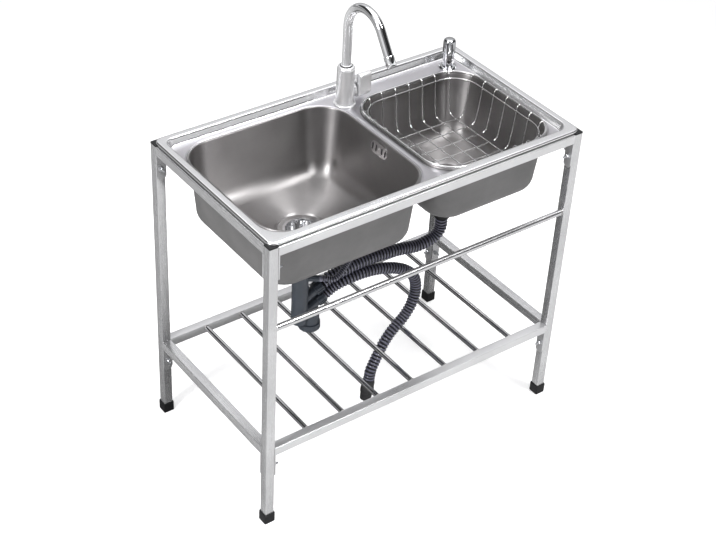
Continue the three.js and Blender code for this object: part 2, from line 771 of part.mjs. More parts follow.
/** A flange against the bowl's outside, a duct behind it and a spigot down to the thin hose. */
function overflowElbow() {
  const { width, height, depth, wall } = OVERFLOW_DUCT;
  const flange = OVERFLOW_FLANGE;
  const duct = (inset, end) => box(flange.thickness, end, inset - width / 2, width / 2 - inset,
    inset - height / 2, height / 2 - inset);
  const mouth = rod('x', -1, flange.thickness + 1, 11, 16);
  const spigotX = flange.thickness + depth / 2;
  const spigot = rod('z', -height / 2 - 12, 1 - height / 2, THIN_HOSE_BORE + 1.4, SMALL_SIDES);
  const bore = rod('z', -height / 2 - 13, 0, THIN_HOSE_BORE - 0.6, SMALL_SIDES);
  return combine(roundEndedPlate(flange.width, flange.height, flange.thickness), {
    add: [duct(0, flange.thickness + depth), spigot.translate(spigotX, 0, 0)],
    cut: [duct(wall, flange.thickness + depth - wall), mouth, bore.translate(spigotX, 0, 0)],
  });
}

const overflowGroup = new THREE.Group();
overflowGroup.position.set(OVERFLOW_X, OVERFLOW_Y, OVERFLOW_Z);
overflowGroup.rotation.y = WALL_LEAN;

const OVERFLOW_ELBOW_X = SHEET + GAP + 0.1;
const OVERFLOW_SPIGOT = new THREE.Vector3(
  OVERFLOW_ELBOW_X + OVERFLOW_FLANGE.thickness + OVERFLOW_DUCT.depth / 2,
  0,
  -OVERFLOW_DUCT.height / 2 - 12 - GAP,
);

function buildSink() {
  place('sink_deck', sinkDeck(), FINISH.sheet);
  place('left_bowl', leftBowlShell(), FINISH.sheet);
  place('right_bowl', bowlShell(RIGHT_BOWL), FINISH.sheet);
  place('overflow_cover', overflowCover(), FINISH.chrome, {
    at: [-OVERFLOW_COVER.thickness - GAP - 0.1, 0, 0], parent: overflowGroup,
  });
  place('overflow_elbow', overflowElbow(), FINISH.slate, {
    at: [OVERFLOW_ELBOW_X, 0, 0], parent: overflowGroup,
  });
  unit.add(overflowGroup);
}

// ---------------------------------------------------------------- drains

const CUP_BOTTOM = -DRAIN_CUP_DEPTH;
const SPIGOT_END = CUP_BOTTOM - DRAIN_SPIGOT;

/** The strainer cup: its flange lies in the bowl's recess, and its spigot takes the pipe. */
function drainCup() {
  const wall = DRAIN_WALL;
  const bore = DRAIN_SPIGOT_RADIUS - wall;
  return turned([
    [DRAIN_FLANGE_RADIUS, GAP],
    [DRAIN_FLANGE_RADIUS - 0.5, GAP + wall],
    [DRAIN_CUP_RADIUS - wall, GAP + wall],
    [DRAIN_CUP_RADIUS - wall - 4, CUP_BOTTOM + wall],
    [bore, CUP_BOTTOM + wall - 2],
    [bore, SPIGOT_END],
    [DRAIN_SPIGOT_RADIUS, SPIGOT_END],
    [DRAIN_SPIGOT_RADIUS, CUP_BOTTOM - 2],
    [DRAIN_CUP_RADIUS - 4, CUP_BOTTOM],
    [DRAIN_CUP_RADIUS, -DRAIN_NUT_HEIGHT - 8],
    [DRAIN_CUP_RADIUS, GAP],
  ]);
}

/** The lock nut that pulls the cup down, under the bowl's floor. */
function drainNut() {
  const top = -SHEET - GAP;
  const low = top - DRAIN_NUT_HEIGHT;
  const inner = DRAIN_CUP_RADIUS + GAP + 0.2;
  return turned([
    [inner, low],
    [DRAIN_NUT_RADIUS - 4, low],
    [DRAIN_NUT_RADIUS - 4, top - 3],
    [DRAIN_NUT_RADIUS, top - 2],
    [DRAIN_NUT_RADIUS, top],
    [inner, top],
  ]);
}

/** A lift-out strainer: a dished cup with a ring of slots, a knob on a post and a seal under it. */
function strainer() {
  const rim = STRAINER_RADIUS;
  const dish = turned([
    [0, -STRAINER_DEPTH],
    [rim - 9, -STRAINER_DEPTH],
    [rim - 4.5, -1],
    [rim - 4.5, 0],
    [rim, 0],
    [rim, 1.2],
    [rim - 6, 1.2],
    [rim - 10, -STRAINER_DEPTH + 1.4],
    [0, -STRAINER_DEPTH + 1.4],
  ]);
  const post = turned([
    [0, -STRAINER_DEPTH + 0.5],
    [3, -STRAINER_DEPTH + 0.5],
    [3, -7],
    [7.5, -3],
    [6, 2.4],
    [0, 3],
  ], 8);
  const holes = [];
  for (let i = 0; i < 6; i += 1) {
    const slotCut = box(14, 24, -1.6, 1.6, -STRAINER_DEPTH - 2, -STRAINER_DEPTH + 3);
    holes.push(slotCut.rotateZ(((i + 0.5) / 6) * 2 * Math.PI));
  }
  return combine(dish, { add: [post], cut: holes });
}

const STRAINER_SEAT = DRAIN_WALL + 2 * GAP;

const TEE_X = LEFT_BOWL.drain.x;
const TEE_Y = LEFT_BOWL.drain.y;
const TEE_TOP = LEFT_BOWL.floor + SPIGOT_END + 18;

/** A point on one of the tee's rising branches, a distance out from the pipe's middle. */
function onBranch(branch, distance) {
  return new THREE.Vector3(
    TEE_X + distance * Math.cos(BRANCH_RISE),
    TEE_Y,
    branch.z + distance * Math.sin(BRANCH_RISE),
  );
}

function onOverflowPort(distance) {
  return new THREE.Vector3(
    TEE_X + distance * Math.cos(OVERFLOW_PORT.turn),
    TEE_Y + distance * Math.sin(OVERFLOW_PORT.turn),
    OVERFLOW_PORT.z,
  );
}

const branchRod = (branch, from, to, radius, sides) => rod('x', from, to, radius, sides)
  .rotateY(-BRANCH_RISE)
  .translate(TEE_X, TEE_Y, branch.z);

const overflowPortRod = (from, to, radius) => rod('x', from, to, radius, SMALL_SIDES)
  .rotateZ(OVERFLOW_PORT.turn)
  .translate(TEE_X, TEE_Y, OVERFLOW_PORT.z);

/** The tee: a pipe down from the left drain, a trap cup beside it, two branches and a small port. */
function drainTee() {
  const upright = (x, from, to, radius) => rod('z', from, to, radius).translate(x, TEE_Y, 0);
  const trapX = TEE_X + TRAP_OFFSET;
  const pipeBottom = TRAP_BOTTOM + 25;
  const sleeve = DRAIN_SPIGOT_RADIUS + GAP;
  const branchEnd = 6;
  return combine(upright(TEE_X, pipeBottom, TEE_TOP, PIPE_RADIUS), {
    add: [
      upright(TEE_X, TEE_TOP - 22, TEE_TOP, PIPE_RADIUS + 4),
      upright(trapX, TRAP_BOTTOM, TRAP_TOP, TRAP_RADIUS),
      branchRod(CROSS_BRANCH, 0, CROSS_BRANCH.length - branchEnd, BRANCH_RADIUS, 12),
      branchRod(OUTLET_BRANCH, 0, OUTLET_BRANCH.length - branchEnd, BRANCH_RADIUS, 12),
      overflowPortRod(0, OVERFLOW_PORT.length - GAP, OVERFLOW_PORT_RADIUS),
    ],
    cut: [
      upright(TEE_X, pipeBottom + PIPE_WALL, TEE_TOP + 1, PIPE_RADIUS - PIPE_WALL),
      upright(TEE_X, LEFT_BOWL.floor + SPIGOT_END - 1, TEE_TOP + 1, sleeve),
      upright(trapX, TRAP_BOTTOM - 1, TRAP_TOP - PIPE_WALL, TRAP_RADIUS - PIPE_WALL),
      branchRod(CROSS_BRANCH, 0, CROSS_BRANCH.length, BRANCH_RADIUS - PIPE_WALL, 12),
      branchRod(OUTLET_BRANCH, 0, OUTLET_BRANCH.length, BRANCH_RADIUS - PIPE_WALL, 12),
      overflowPortRod(0, OVERFLOW_PORT.length + 1, OVERFLOW_PORT_RADIUS - PIPE_WALL),
    ],
  });
}

/** A cap screwed over the trap cup's open bottom. */
function cleanoutCap() {
  const outer = TRAP_RADIUS + 2.6;
  return turned([
    [0, -3],
    [outer - 3, -3],
    [outer, 0],
    [outer, 15],
    [TRAP_RADIUS + GAP, 15],
    [TRAP_RADIUS + GAP, 0],
    [0, -GAP],
  ]);
}

/** A nut that holds a hose on its branch, six-sided outside, with the branch inside it. */
function branchNut(branch) {
  const from = branch.length - BRANCH_NUT_LENGTH;
  const flats = branchRod(branch, from, branch.length - GAP, BRANCH_NUT_RADIUS, 8);
  return combine(flats, {
    cut: [
      branchRod(branch, from - 1, branch.length - 6 + GAP, BRANCH_RADIUS + GAP, 12),
      branchRod(branch, from, branch.length + 1, HOSE_BORE, 12),
    ],
  });
}

/** From the right cup down to the cross hose: a sleeve, a pipe and a narrower hose end. */
function rightTailpiece() {
  const top = RIGHT_BOWL.floor + SPIGOT_END + 18;
  const spigotEnd = RIGHT_BOWL.floor + SPIGOT_END;
  const sleeve = DRAIN_SPIGOT_RADIUS + GAP;
  return turned([
    [sleeve, top],
    [PIPE_RADIUS + 4, top],
    [PIPE_RADIUS + 4, top - 20],
    [PIPE_RADIUS, top - 22],
    [PIPE_RADIUS, TAILPIECE_END + GAP],
    [HOSE_BORE, TAILPIECE_END + GAP],
    [PIPE_RADIUS - PIPE_WALL, TAILPIECE_END + 6],
    [PIPE_RADIUS - PIPE_WALL, spigotEnd - 2],
    [sleeve, spigotEnd - 1],
  ]).translate(RIGHT_BOWL.drain.x, RIGHT_BOWL.drain.y, 0);
}

/** From the right drain down, over to the left with a slight rise, and into the tee's branch. */
function crossHoseRoute() {
  const start = new THREE.Vector3(RIGHT_BOWL.drain.x, RIGHT_BOWL.drain.y, TAILPIECE_END);
  const bend = [
    [0, 0, 0], [0, 0, -13], [0, 0, -26], [-3, 0, -38],
    [-11, 0, -49], [-25, 1, -57], [-43, 1, -60], [-65, 2, -62],
  ].map(([x, y, z]) => start.clone().add(new THREE.Vector3(x, y, z)));
  const arrival = [24, 12, 0].map((out) => onBranch(CROSS_BRANCH, CROSS_BRANCH.length + out));
  const hump = 10;
  const run = [0.2, 0.4, 0.6, 0.8].map((share) => {
    const point = bend[bend.length - 1].clone().lerp(arrival[0], share);
    point.z += hump * Math.sin(share * Math.PI);
    return point;
  });
  return [...bend, ...run, ...arrival];
}

/** From the overflow's spigot down between the bowls and forward to the tee's small port. */
function overflowHoseRoute() {
  const down = new THREE.Vector3(-Math.sin(WALL_LEAN), 0, -Math.cos(WALL_LEAN));
  const start = OVERFLOW_SPIGOT.clone()
    .applyAxisAngle(new THREE.Vector3(0, 1, 0), WALL_LEAN)
    .add(new THREE.Vector3(OVERFLOW_X, OVERFLOW_Y, OVERFLOW_Z));
  const dropAt = (distance) => start.clone().addScaledVector(down, distance);
  const bend = dropAt(116);
  const middle = [[-2, -1, -32], [-17, -6, -66], [-42, -13, -90], [-76, -20, -106]].map(
    ([x, y, z]) => bend.clone().add(new THREE.Vector3(x, y, z)),
  );
  const arrival = [34, 14, 7, 0].map((out) => onOverflowPort(OVERFLOW_PORT.length + out));
  return [dropAt(0), dropAt(7), dropAt(14), dropAt(60), bend, ...middle, ...arrival];
}

/** The outlet hose's end fitting: a grip sleeve, a collar and a tapered open nose. */
function outletFitting() {
  const length = FITTING_LENGTH;
  return turned([
    [HOSE_BORE, GAP],
    [FITTING_RADIUS - 3, GAP],
    [FITTING_RADIUS - 1, 3],
    [FITTING_RADIUS - 1, 20],
    [FITTING_RADIUS, 22],
    [FITTING_RADIUS, 34],
    [FITTING_RADIUS - 1.5, 36],
    [FITTING_RADIUS - 2.5, length],
    [HOSE_BORE, length],
  ], 12);
}

function outletRoute() {
  const start = [0, 12, 24].map((out) => onBranch(OUTLET_BRANCH, OUTLET_BRANCH.length + out));
  return [...start, ...[...OUTLET_ROUTE, OUTLET_END].map((point) => new THREE.Vector3(...point))];
}

function buildDrains() {
  for (const [side, bowl] of [['left', LEFT_BOWL], ['right', RIGHT_BOWL]]) {
    const at = [bowl.drain.x, bowl.drain.y, bowl.floor];
    place(`${side}_drain_cup`, drainCup(), FINISH.sheet, { at });
    place(`${side}_drain_nut`, drainNut(), FINISH.slate, { at });
    place(`${side}_strainer`, strainer(), FINISH.chrome, {
      at: [bowl.drain.x, bowl.drain.y, bowl.floor + STRAINER_SEAT],
    });
  }
  place('drain_tee', drainTee(), FINISH.slate);
  place('cleanout_cap', cleanoutCap(), FINISH.slate, {
    at: [TEE_X + TRAP_OFFSET, TEE_Y, TRAP_BOTTOM],
  });
  place('cross_hose_nut', branchNut(CROSS_BRANCH), FINISH.slate);
  place('outlet_hose_nut', branchNut(OUTLET_BRANCH), FINISH.slate);
  place('right_tailpiece', rightTailpiece(), FINISH.slate);
  place('cross_hose', ribbedHose('cross hose', crossHoseRoute(), HOSE_RADIUS, HOSE_BORE, HOSE_PITCH),
    FINISH.hose);
  place('overflow_hose', ribbedHose('overflow hose', overflowHoseRoute(), THIN_HOSE_RADIUS,
    THIN_HOSE_BORE, THIN_HOSE_PITCH), FINISH.hose);
  const route = outletRoute();
  place('outlet_hose', ribbedHose('outlet hose', route, HOSE_RADIUS, HOSE_BORE, HOSE_PITCH), FINISH.hose);
  const end = route[route.length - 1];
  const heading = end.clone().sub(route[route.length - 2]).normalize();
  const fitting = place('outlet_fitting', outletFitting(), FINISH.black, { at: end.toArray() });
  fitting.quaternion.setFromUnitVectors(new THREE.Vector3(0, 0, 1), heading);
}

// ---------------------------------------------------------------- mixer

/** The body with its side housing for the mixing core, its spout socket and its shank. */
function faucetBody() {
  const r = FAUCET_RADIUS;
  const h = FAUCET_HEIGHT;
  const profile = turned([
    [0, -SHANK_LENGTH],
    [SHANK_RADIUS, -SHANK_LENGTH],
    [SHANK_RADIUS, FAUCET_BASE_HEIGHT + GAP],
    [r, FAUCET_BASE_HEIGHT + GAP],
    [r, h - 7],
    [r - 1.2, h - 3.2],
    [r - 4, h - 0.8],
    [r - 5.5, h],
    [0, h],
  ]);
  const housing = rod('x', 0, HOUSING_END, HOUSING_RADIUS).translate(0, 0, HOUSING_Z);
  const chamber = rod('x', CORE_START - GAP, HOUSING_END + 1, CORE_RADIUS + GAP)
    .translate(0, 0, HOUSING_Z);
  const socket = rod('z', h - SPOUT_SOCKET, h + 1, SPOUT_RADIUS + GAP);
  const inlet = rod('z', -SHANK_LENGTH - 1, HOUSING_Z, 5, 12);
  const outlet = rod('z', HOUSING_Z, h - SPOUT_SOCKET + 1, 5, 12);
  return combine(profile, { add: [housing], cut: [chamber, socket, inlet, outlet] });
}

function faucetBase() {
  return turned([
    [SHANK_RADIUS + GAP, GAP],
    [FAUCET_BASE_RADIUS, GAP],
    [FAUCET_BASE_RADIUS, FAUCET_BASE_HEIGHT - 1.6],
    [FAUCET_BASE_RADIUS - 1.8, FAUCET_BASE_HEIGHT],
    [SHANK_RADIUS + GAP, FAUCET_BASE_HEIGHT],
  ]);
}

/** The nut that clamps the deck, with its washer as a flange. */
function faucetNut() {
  const top = -SHEET - GAP;
  const hexagon = rod('z', top - FAUCET_NUT_HEIGHT, top - 2, FAUCET_NUT_RADIUS - 3, 6);
  const washer = rod('z', top - 2.5, top, FAUCET_NUT_RADIUS);
  return combine(hexagon, {
    add: [washer],
    cut: [rod('z', top - FAUCET_NUT_HEIGHT - 1, top + 1, SHANK_RADIUS + GAP)],
  });
}

const mixingCore = () => turned([
  [CORE_BORE, CORE_START],
  [CORE_RADIUS, CORE_START],
  [CORE_RADIUS, CORE_END],
  [CORE_BORE, CORE_END],
]).rotateY(Math.PI / 2);

/** The lever: a round cap over the housing's end, a flat plate up from it, and its stem. */
function lever() {
  const length = LEVER_END - LEVER_START;
  const outline = new THREE.Shape();
  const r = LEVER_RADIUS;
  outline.moveTo(-r, 0);
  outline.absarc(0, 0, r, Math.PI, 1.5 * Math.PI);
  outline.absarc(0, 0, r, 1.5 * Math.PI, 2 * Math.PI);
  outline.absarc(0, 0, r, 0, 0.62 * Math.PI);
  outline.lineTo(LEVER_PLATE - r, r + 4);
  outline.lineTo(LEVER_PLATE - r - 1, LEVER_TOP - 2);
  outline.quadraticCurveTo(LEVER_PLATE - r - 1.3, LEVER_TOP, LEVER_PLATE - r - 3.5, LEVER_TOP);
  outline.lineTo(3.5 - r, LEVER_TOP);
  outline.quadraticCurveTo(-r, LEVER_TOP, -r, LEVER_TOP - 3.5);
  const bevel = 1.6;
  const blank = new THREE.ExtrudeGeometry(outline, {
    depth: length - 2 * bevel,
    bevelEnabled: true,
    bevelThickness: bevel,
    bevelSize: bevel,
    bevelOffset: -bevel,
    bevelSegments: 1,
    curveSegments: 5,
  }).rotateX(Math.PI / 2).rotateZ(Math.PI / 2).translate(LEVER_START + bevel, 0, 0);
  const cavity = rod('x', LEVER_START - 1, LEVER_START + LEVER_CAVITY, r - LEVER_WALL);
  const stem = rod('x', PIVOT_X, LEVER_START + LEVER_CAVITY + 4, STEM_RADIUS, 12);
  const ball = new THREE.SphereGeometry(PIVOT_BALL, 8, 6).rotateX(Math.PI / 2)
    .translate(PIVOT_X, 0, 0);
  return combine(combine(blank, { cut: [cavity] }), { add: [stem, ball] });
}

/** The spout's middle line, from inside its socket round the arc to the aerator. */
function spoutPath() {
  const arcSteps = 10;
  const bottom = FAUCET_HEIGHT - SPOUT_SOCKET + GAP + 1;
  const points = [
    new THREE.Vector3(0, 0, bottom),
    new THREE.Vector3(0, 0, SPOUT_RISE - 1),
  ];
  for (let i = 0; i <= arcSteps; i += 1) {
    const angle = (i / arcSteps) * SPOUT_SWEEP;
    points.push(new THREE.Vector3(
      0,
      SPOUT_ARC * Math.cos(angle) - SPOUT_ARC,
      SPOUT_RISE + SPOUT_ARC * Math.sin(angle),
    ));
  }
  points.push(points[points.length - 1].clone().addScaledVector(spoutHeading(), SPOUT_TAIL));
  return points;
}

function spoutHeading() {
  return new THREE.Vector3(0, -Math.sin(SPOUT_SWEEP), Math.cos(SPOUT_SWEEP));
}

/** The gooseneck, with a collar on its socket and a bore up its mouth. */
function spout() {
  const collar = rod('z', FAUCET_HEIGHT + GAP, FAUCET_HEIGHT + GAP + SPOUT_COLLAR_HEIGHT,
    SPOUT_COLLAR_RADIUS, ROUND_SIDES, SPOUT_COLLAR_RADIUS - 1);
  const points = spoutPath();
  const mouth = rod('z', -SPOUT_TAIL / 2, 1, SPOUT_BORE, SMALL_SIDES)
    .applyQuaternion(new THREE.Quaternion().setFromUnitVectors(new THREE.Vector3(0, 0, 1), spoutHeading()))
    .translate(...points[points.length - 1].toArray());
  return combine(alongPoints(points, SPOUT_RADIUS, 12), { add: [collar], cut: [mouth] });
}

const aerator = () => turned([
  [SPOUT_BORE, GAP],
  [AERATOR_RADIUS - 1, GAP],
  [AERATOR_RADIUS, 1.6],
  [AERATOR_RADIUS, AERATOR_LENGTH - 5],
  [AERATOR_RADIUS - 0.8, AERATOR_LENGTH - 4],
  [AERATOR_RADIUS - 0.8, AERATOR_LENGTH],
  [SPOUT_BORE, AERATOR_LENGTH],
]);

function buildFaucet() {
  const faucet = new THREE.Group();
  faucet.position.set(FAUCET_X, FAUCET_Y, DECK_Z);
  place('faucet_base', faucetBase(), FINISH.chrome, { parent: faucet });
  place('faucet_body', faucetBody(), FINISH.chrome, { parent: faucet });
  place('faucet_nut', faucetNut(), FINISH.slate, { parent: faucet });
  place('mixing_core', mixingCore(), FINISH.white, { at: [0, 0, HOUSING_Z], parent: faucet });
  place('lever', lever(), FINISH.chrome, { at: [0, 0, HOUSING_Z], parent: faucet });
  place('spout', spout(), FINISH.chrome, { parent: faucet });
  const points = spoutPath();
  const tip = place('aerator', aerator(), FINISH.chrome, {
    at: points[points.length - 1].toArray(), parent: faucet,
  });
  tip.quaternion.setFromUnitVectors(new THREE.Vector3(0, 0, 1), spoutHeading());
  unit.add(faucet);
}

// ---------------------------------------------------------------- soap pump

function soapCollar() {
  return turned([
    [SOAP_PLUNGER_RADIUS + 2.5, -SOAP_SHANK_LENGTH],
    [SOAP_SHANK_RADIUS, -SOAP_SHANK_LENGTH],
    [SOAP_SHANK_RADIUS, GAP],
    [SOAP_FLANGE_RADIUS, GAP],
    [SOAP_FLANGE_RADIUS, 2],
    [SOAP_FLANGE_RADIUS - 3, SOAP_FLANGE_HEIGHT],
    [SOAP_COLLAR_RADIUS, SOAP_FLANGE_HEIGHT],
    [SOAP_COLLAR_RADIUS, SOAP_COLLAR_HEIGHT],
    [SOAP_PLUNGER_RADIUS + GAP, SOAP_COLLAR_HEIGHT],
    [SOAP_PLUNGER_RADIUS + GAP, SOAP_COLLAR_HEIGHT - 6],
    [SOAP_PLUNGER_RADIUS + 2.5, SOAP_COLLAR_HEIGHT - 8],
  ], 16);
}

/** The plunger: a rod with a piston, down in the collar. */
function soapPlunger() {
  return turned([
    [0, -SOAP_SHANK_LENGTH + 18],
    [SOAP_PLUNGER_RADIUS + 2.2, -SOAP_SHANK_LENGTH + 18],
    [SOAP_PLUNGER_RADIUS + 2.2, -SOAP_SHANK_LENGTH + 24],
    [SOAP_PLUNGER_RADIUS, -SOAP_SHANK_LENGTH + 26],
    [SOAP_PLUNGER_RADIUS, SOAP_HEAD_TOP - 14],
    [0, SOAP_HEAD_TOP - 14],
  ], SMALL_SIDES);
}

/** The head: a domed cap over the collar, with a nozzle that points to the bowls. */
function soapHead() {
  const r = SOAP_HEAD_RADIUS;
  const inner = r - SOAP_HEAD_WALL;
  const cap = turned([
    [inner, SOAP_HEAD_BOTTOM],
    [r, SOAP_HEAD_BOTTOM],
    [r, SOAP_HEAD_TOP - 9],
    [r - 1.4, SOAP_HEAD_TOP - 5],
    [r - 5, SOAP_HEAD_TOP - 1.6],
    [r - 9.5, SOAP_HEAD_TOP],
    [0, SOAP_HEAD_TOP],
    [0, SOAP_HEAD_TOP - 14 + GAP],
    [SOAP_PLUNGER_RADIUS + GAP, SOAP_HEAD_TOP - 14 + GAP],
    [SOAP_PLUNGER_RADIUS + GAP, SOAP_HEAD_TOP - 24],
    [inner, SOAP_HEAD_TOP - 24],
  ]);
  const reach = SOAP_NOZZLE_REACH;
  const line = [[8, 0], [reach - 16, 0], [reach - 7, -2.2], [reach - 2, -6], [reach, -11]];
  const nozzle = alongPoints(
    line.map(([out, down]) => new THREE.Vector3(out, 0, SOAP_NOZZLE_Z + down)),
    SOAP_NOZZLE_RADIUS,
    8,
  ).rotateZ(SOAP_NOZZLE_TURN);
  return combine(cap, { add: [nozzle] });
}

/** The bottle that screws on the shank, with its neck up against the deck. */
function soapBottle() {
  const neck = SOAP_SHANK_RADIUS + GAP;
  const top = -SOAP_BOTTLE_TOP;
  const bottom = top - SOAP_BOTTLE_HEIGHT;
  const wall = 1.6;
  return turned([
    [neck, -SHEET - GAP],
    [neck, top - 2],
    [SOAP_BOTTLE_RADIUS - wall, top - 14],
    [SOAP_BOTTLE_RADIUS - wall, bottom + wall],
    [0, bottom + wall],
    [0, bottom],
    [SOAP_BOTTLE_RADIUS - 3, bottom],
    [SOAP_BOTTLE_RADIUS, bottom + 4],
    [SOAP_BOTTLE_RADIUS, top - 14],
    [SOAP_NECK_RADIUS, top],
    [SOAP_NECK_RADIUS, -SHEET - GAP],
  ], 16);
}

function buildSoapPump() {
  const pump = new THREE.Group();
  pump.position.set(SOAP_X, SOAP_Y, DECK_Z);
  place('soap_collar', soapCollar(), FINISH.chrome, { parent: pump });
  place('soap_plunger', soapPlunger(), FINISH.chrome, { parent: pump });
  place('soap_head', soapHead(), FINISH.chrome, { parent: pump });
  place('soap_bottle', soapBottle(), FINISH.white, { parent: pump });
  unit.add(pump);
}

// ---------------------------------------------------------------- wire basket

/** A bent wire across the basket: from the rim over the lip, down, across and up again. */
function basketWire(half, bottom) {
  const top = BASKET_RIM_WIRE + LIP_HEIGHT + GAP;
  const wall = half - BASKET_WALL_INSET;
  const foot = wall - BASKET_DRAFT;
  const corner = BASKET_CORNER;
  const side = [
    [half + LIP_WIDTH / 2, top],
    [wall + 2, top],
    [wall - 0.8, top - 6],
    [foot, bottom + corner * 0.7],
    [foot - corner * 0.7, bottom],
  ];
  const back = side.toReversed().map(([out, z]) => [-out, z]);
  return [...side, ...back];
}

/** Half of what the right bowl's outline spans, a given way off its middle. */
function halfSpan(halfLong, halfWide, away) {
  const past = Math.abs(away) - (halfWide - BOWL_CORNER);
  if (past <= 0) {
    return halfLong;
  }
  return halfLong - BOWL_CORNER + Math.sqrt(BOWL_CORNER ** 2 - past ** 2);
}

/** So many places, evenly spaced from -furthest to furthest. */
function spaced(count, furthest) {
  return Array.from({ length: count }, (_, i) => ((2 * i) / (count - 1) - 1) * furthest);
}

function wireBasket() {
  const halfX = (RIGHT_BOWL.x1 - RIGHT_BOWL.x0) / 2;
  const halfY = (RIGHT_BOWL.y1 - RIGHT_BOWL.y0) / 2;
  const area = { x0: -halfX, x1: halfX, y0: -halfY, y1: halfY };
  const rimZ = BASKET_RIM_WIRE + LIP_HEIGHT + GAP;
  const rimLine = atHeight(roundedOutline(area, evenRadii(BOWL_CORNER), LIP_WIDTH / 2), rimZ);
  const sides = 5;
  const rimRings = rimLine.map((point, i) => {
    const ahead = rimLine[(i + 1) % rimLine.length];
    const behind = rimLine[(i + rimLine.length - 1) % rimLine.length];
    const way = ahead.clone().sub(behind).normalize();
    const outward = new THREE.Vector3(way.y, -way.x, 0);
    return Array.from({ length: sides }, (_, side) => {
      const angle = (side / sides) * 2 * Math.PI;
      return point.clone()
        .addScaledVector(outward, -BASKET_RIM_WIRE * Math.cos(angle))
        .setZ(rimZ + BASKET_RIM_WIRE * Math.sin(angle));
    });
  });
  const wires = [];
  for (const y of spaced(BASKET_WIRES_ACROSS, halfY - BASKET_END_SPACE.across)) {
    const line = basketWire(halfSpan(halfX, halfY, y), -BASKET_DEPTH);
    wires.push(alongPoints(line.map(([x, z]) => new THREE.Vector3(x, y, z)), BASKET_WIRE, 4));
  }
  for (const x of spaced(BASKET_WIRES_ALONG, halfX - BASKET_END_SPACE.along)) {
    const line = basketWire(halfSpan(halfY, halfX, x), 1.7 * BASKET_WIRE - BASKET_DEPTH);
    wires.push(alongPoints(line.map(([y, z]) => new THREE.Vector3(x, y, z)), BASKET_WIRE, 4));
  }
  return combine(ringSkin(rimRings, true), { add: wires });
}

function buildBasket() {
  place('wire_basket', wireBasket(), FINISH.wire, { at: [RIGHT_BOWL.x, RIGHT_BOWL.y, DECK_Z] });
}

buildFrame();
buildSink();
buildDrains();
buildFaucet();
buildSoapPump();
buildBasket();

export default unit;
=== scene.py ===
import bmesh
import bpy
from math import atan, copysign, cos, pi, radians, sin, sqrt
from mathutils import Matrix, Vector
from mathutils.geometry import tessellate_polygon


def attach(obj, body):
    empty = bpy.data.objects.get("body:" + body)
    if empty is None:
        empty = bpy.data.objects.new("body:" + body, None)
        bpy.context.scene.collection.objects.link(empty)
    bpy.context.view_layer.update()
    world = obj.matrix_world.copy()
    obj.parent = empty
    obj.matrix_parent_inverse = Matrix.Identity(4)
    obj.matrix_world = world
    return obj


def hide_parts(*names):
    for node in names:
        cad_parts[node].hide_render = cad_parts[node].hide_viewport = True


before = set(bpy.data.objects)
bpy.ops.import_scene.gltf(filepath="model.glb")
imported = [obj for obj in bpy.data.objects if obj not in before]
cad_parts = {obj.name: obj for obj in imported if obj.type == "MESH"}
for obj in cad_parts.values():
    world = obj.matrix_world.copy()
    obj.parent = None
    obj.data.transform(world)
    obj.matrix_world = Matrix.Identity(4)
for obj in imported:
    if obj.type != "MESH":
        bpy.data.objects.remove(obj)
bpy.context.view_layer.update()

# ---------------------------------------------------------------- camera
# A long lens above the sink's front left corner, looking down on it, with the horizon
# tipped a few degrees.
IMAGE_WIDTH, FOCAL_PIXELS, SENSOR_WIDTH = 716, 1553.8, 36.0
AZIMUTH, ELEVATION, TIP = (radians(a) for a in (-37.946, 36.827, 3.355))
EYE = (-1.7597, -2.2410, 2.5271)
scene = bpy.context.scene
lens_data = bpy.data.cameras.new("camera")
lens_data.lens = SENSOR_WIDTH * FOCAL_PIXELS / IMAGE_WIDTH
lens_data.clip_end = 60
camera = bpy.data.objects.new("camera", lens_data)
scene.collection.objects.link(camera)
scene.camera = camera
back = Vector((sin(AZIMUTH) * cos(ELEVATION),
               -cos(AZIMUTH) * cos(ELEVATION), sin(ELEVATION)))
level = (-back).cross(Vector((0, 0, 1))).normalized()
above = level.cross(-back)
right = level * cos(TIP) + above * sin(TIP)
upward = above * cos(TIP) - level * sin(TIP)
turn = Matrix((right, upward, back)).transposed().to_4x4()
camera.matrix_world = Matrix.Translation(EYE) @ turn

# ---------------------------------------------------------------- ribbed hoses
# Black corrugated waste hoses, blow-moulded, with round ribs a few millimetres apart. Their
# crests carry a lighter tone as a painted highlight, and their grooves a near-black one as painted
# shade. The outlet hose hangs free from the tee and ends in a rubber fitting; the other two are
# pushed on at both ends.
MM = 0.001
AXIS_RADIUS = 0.004


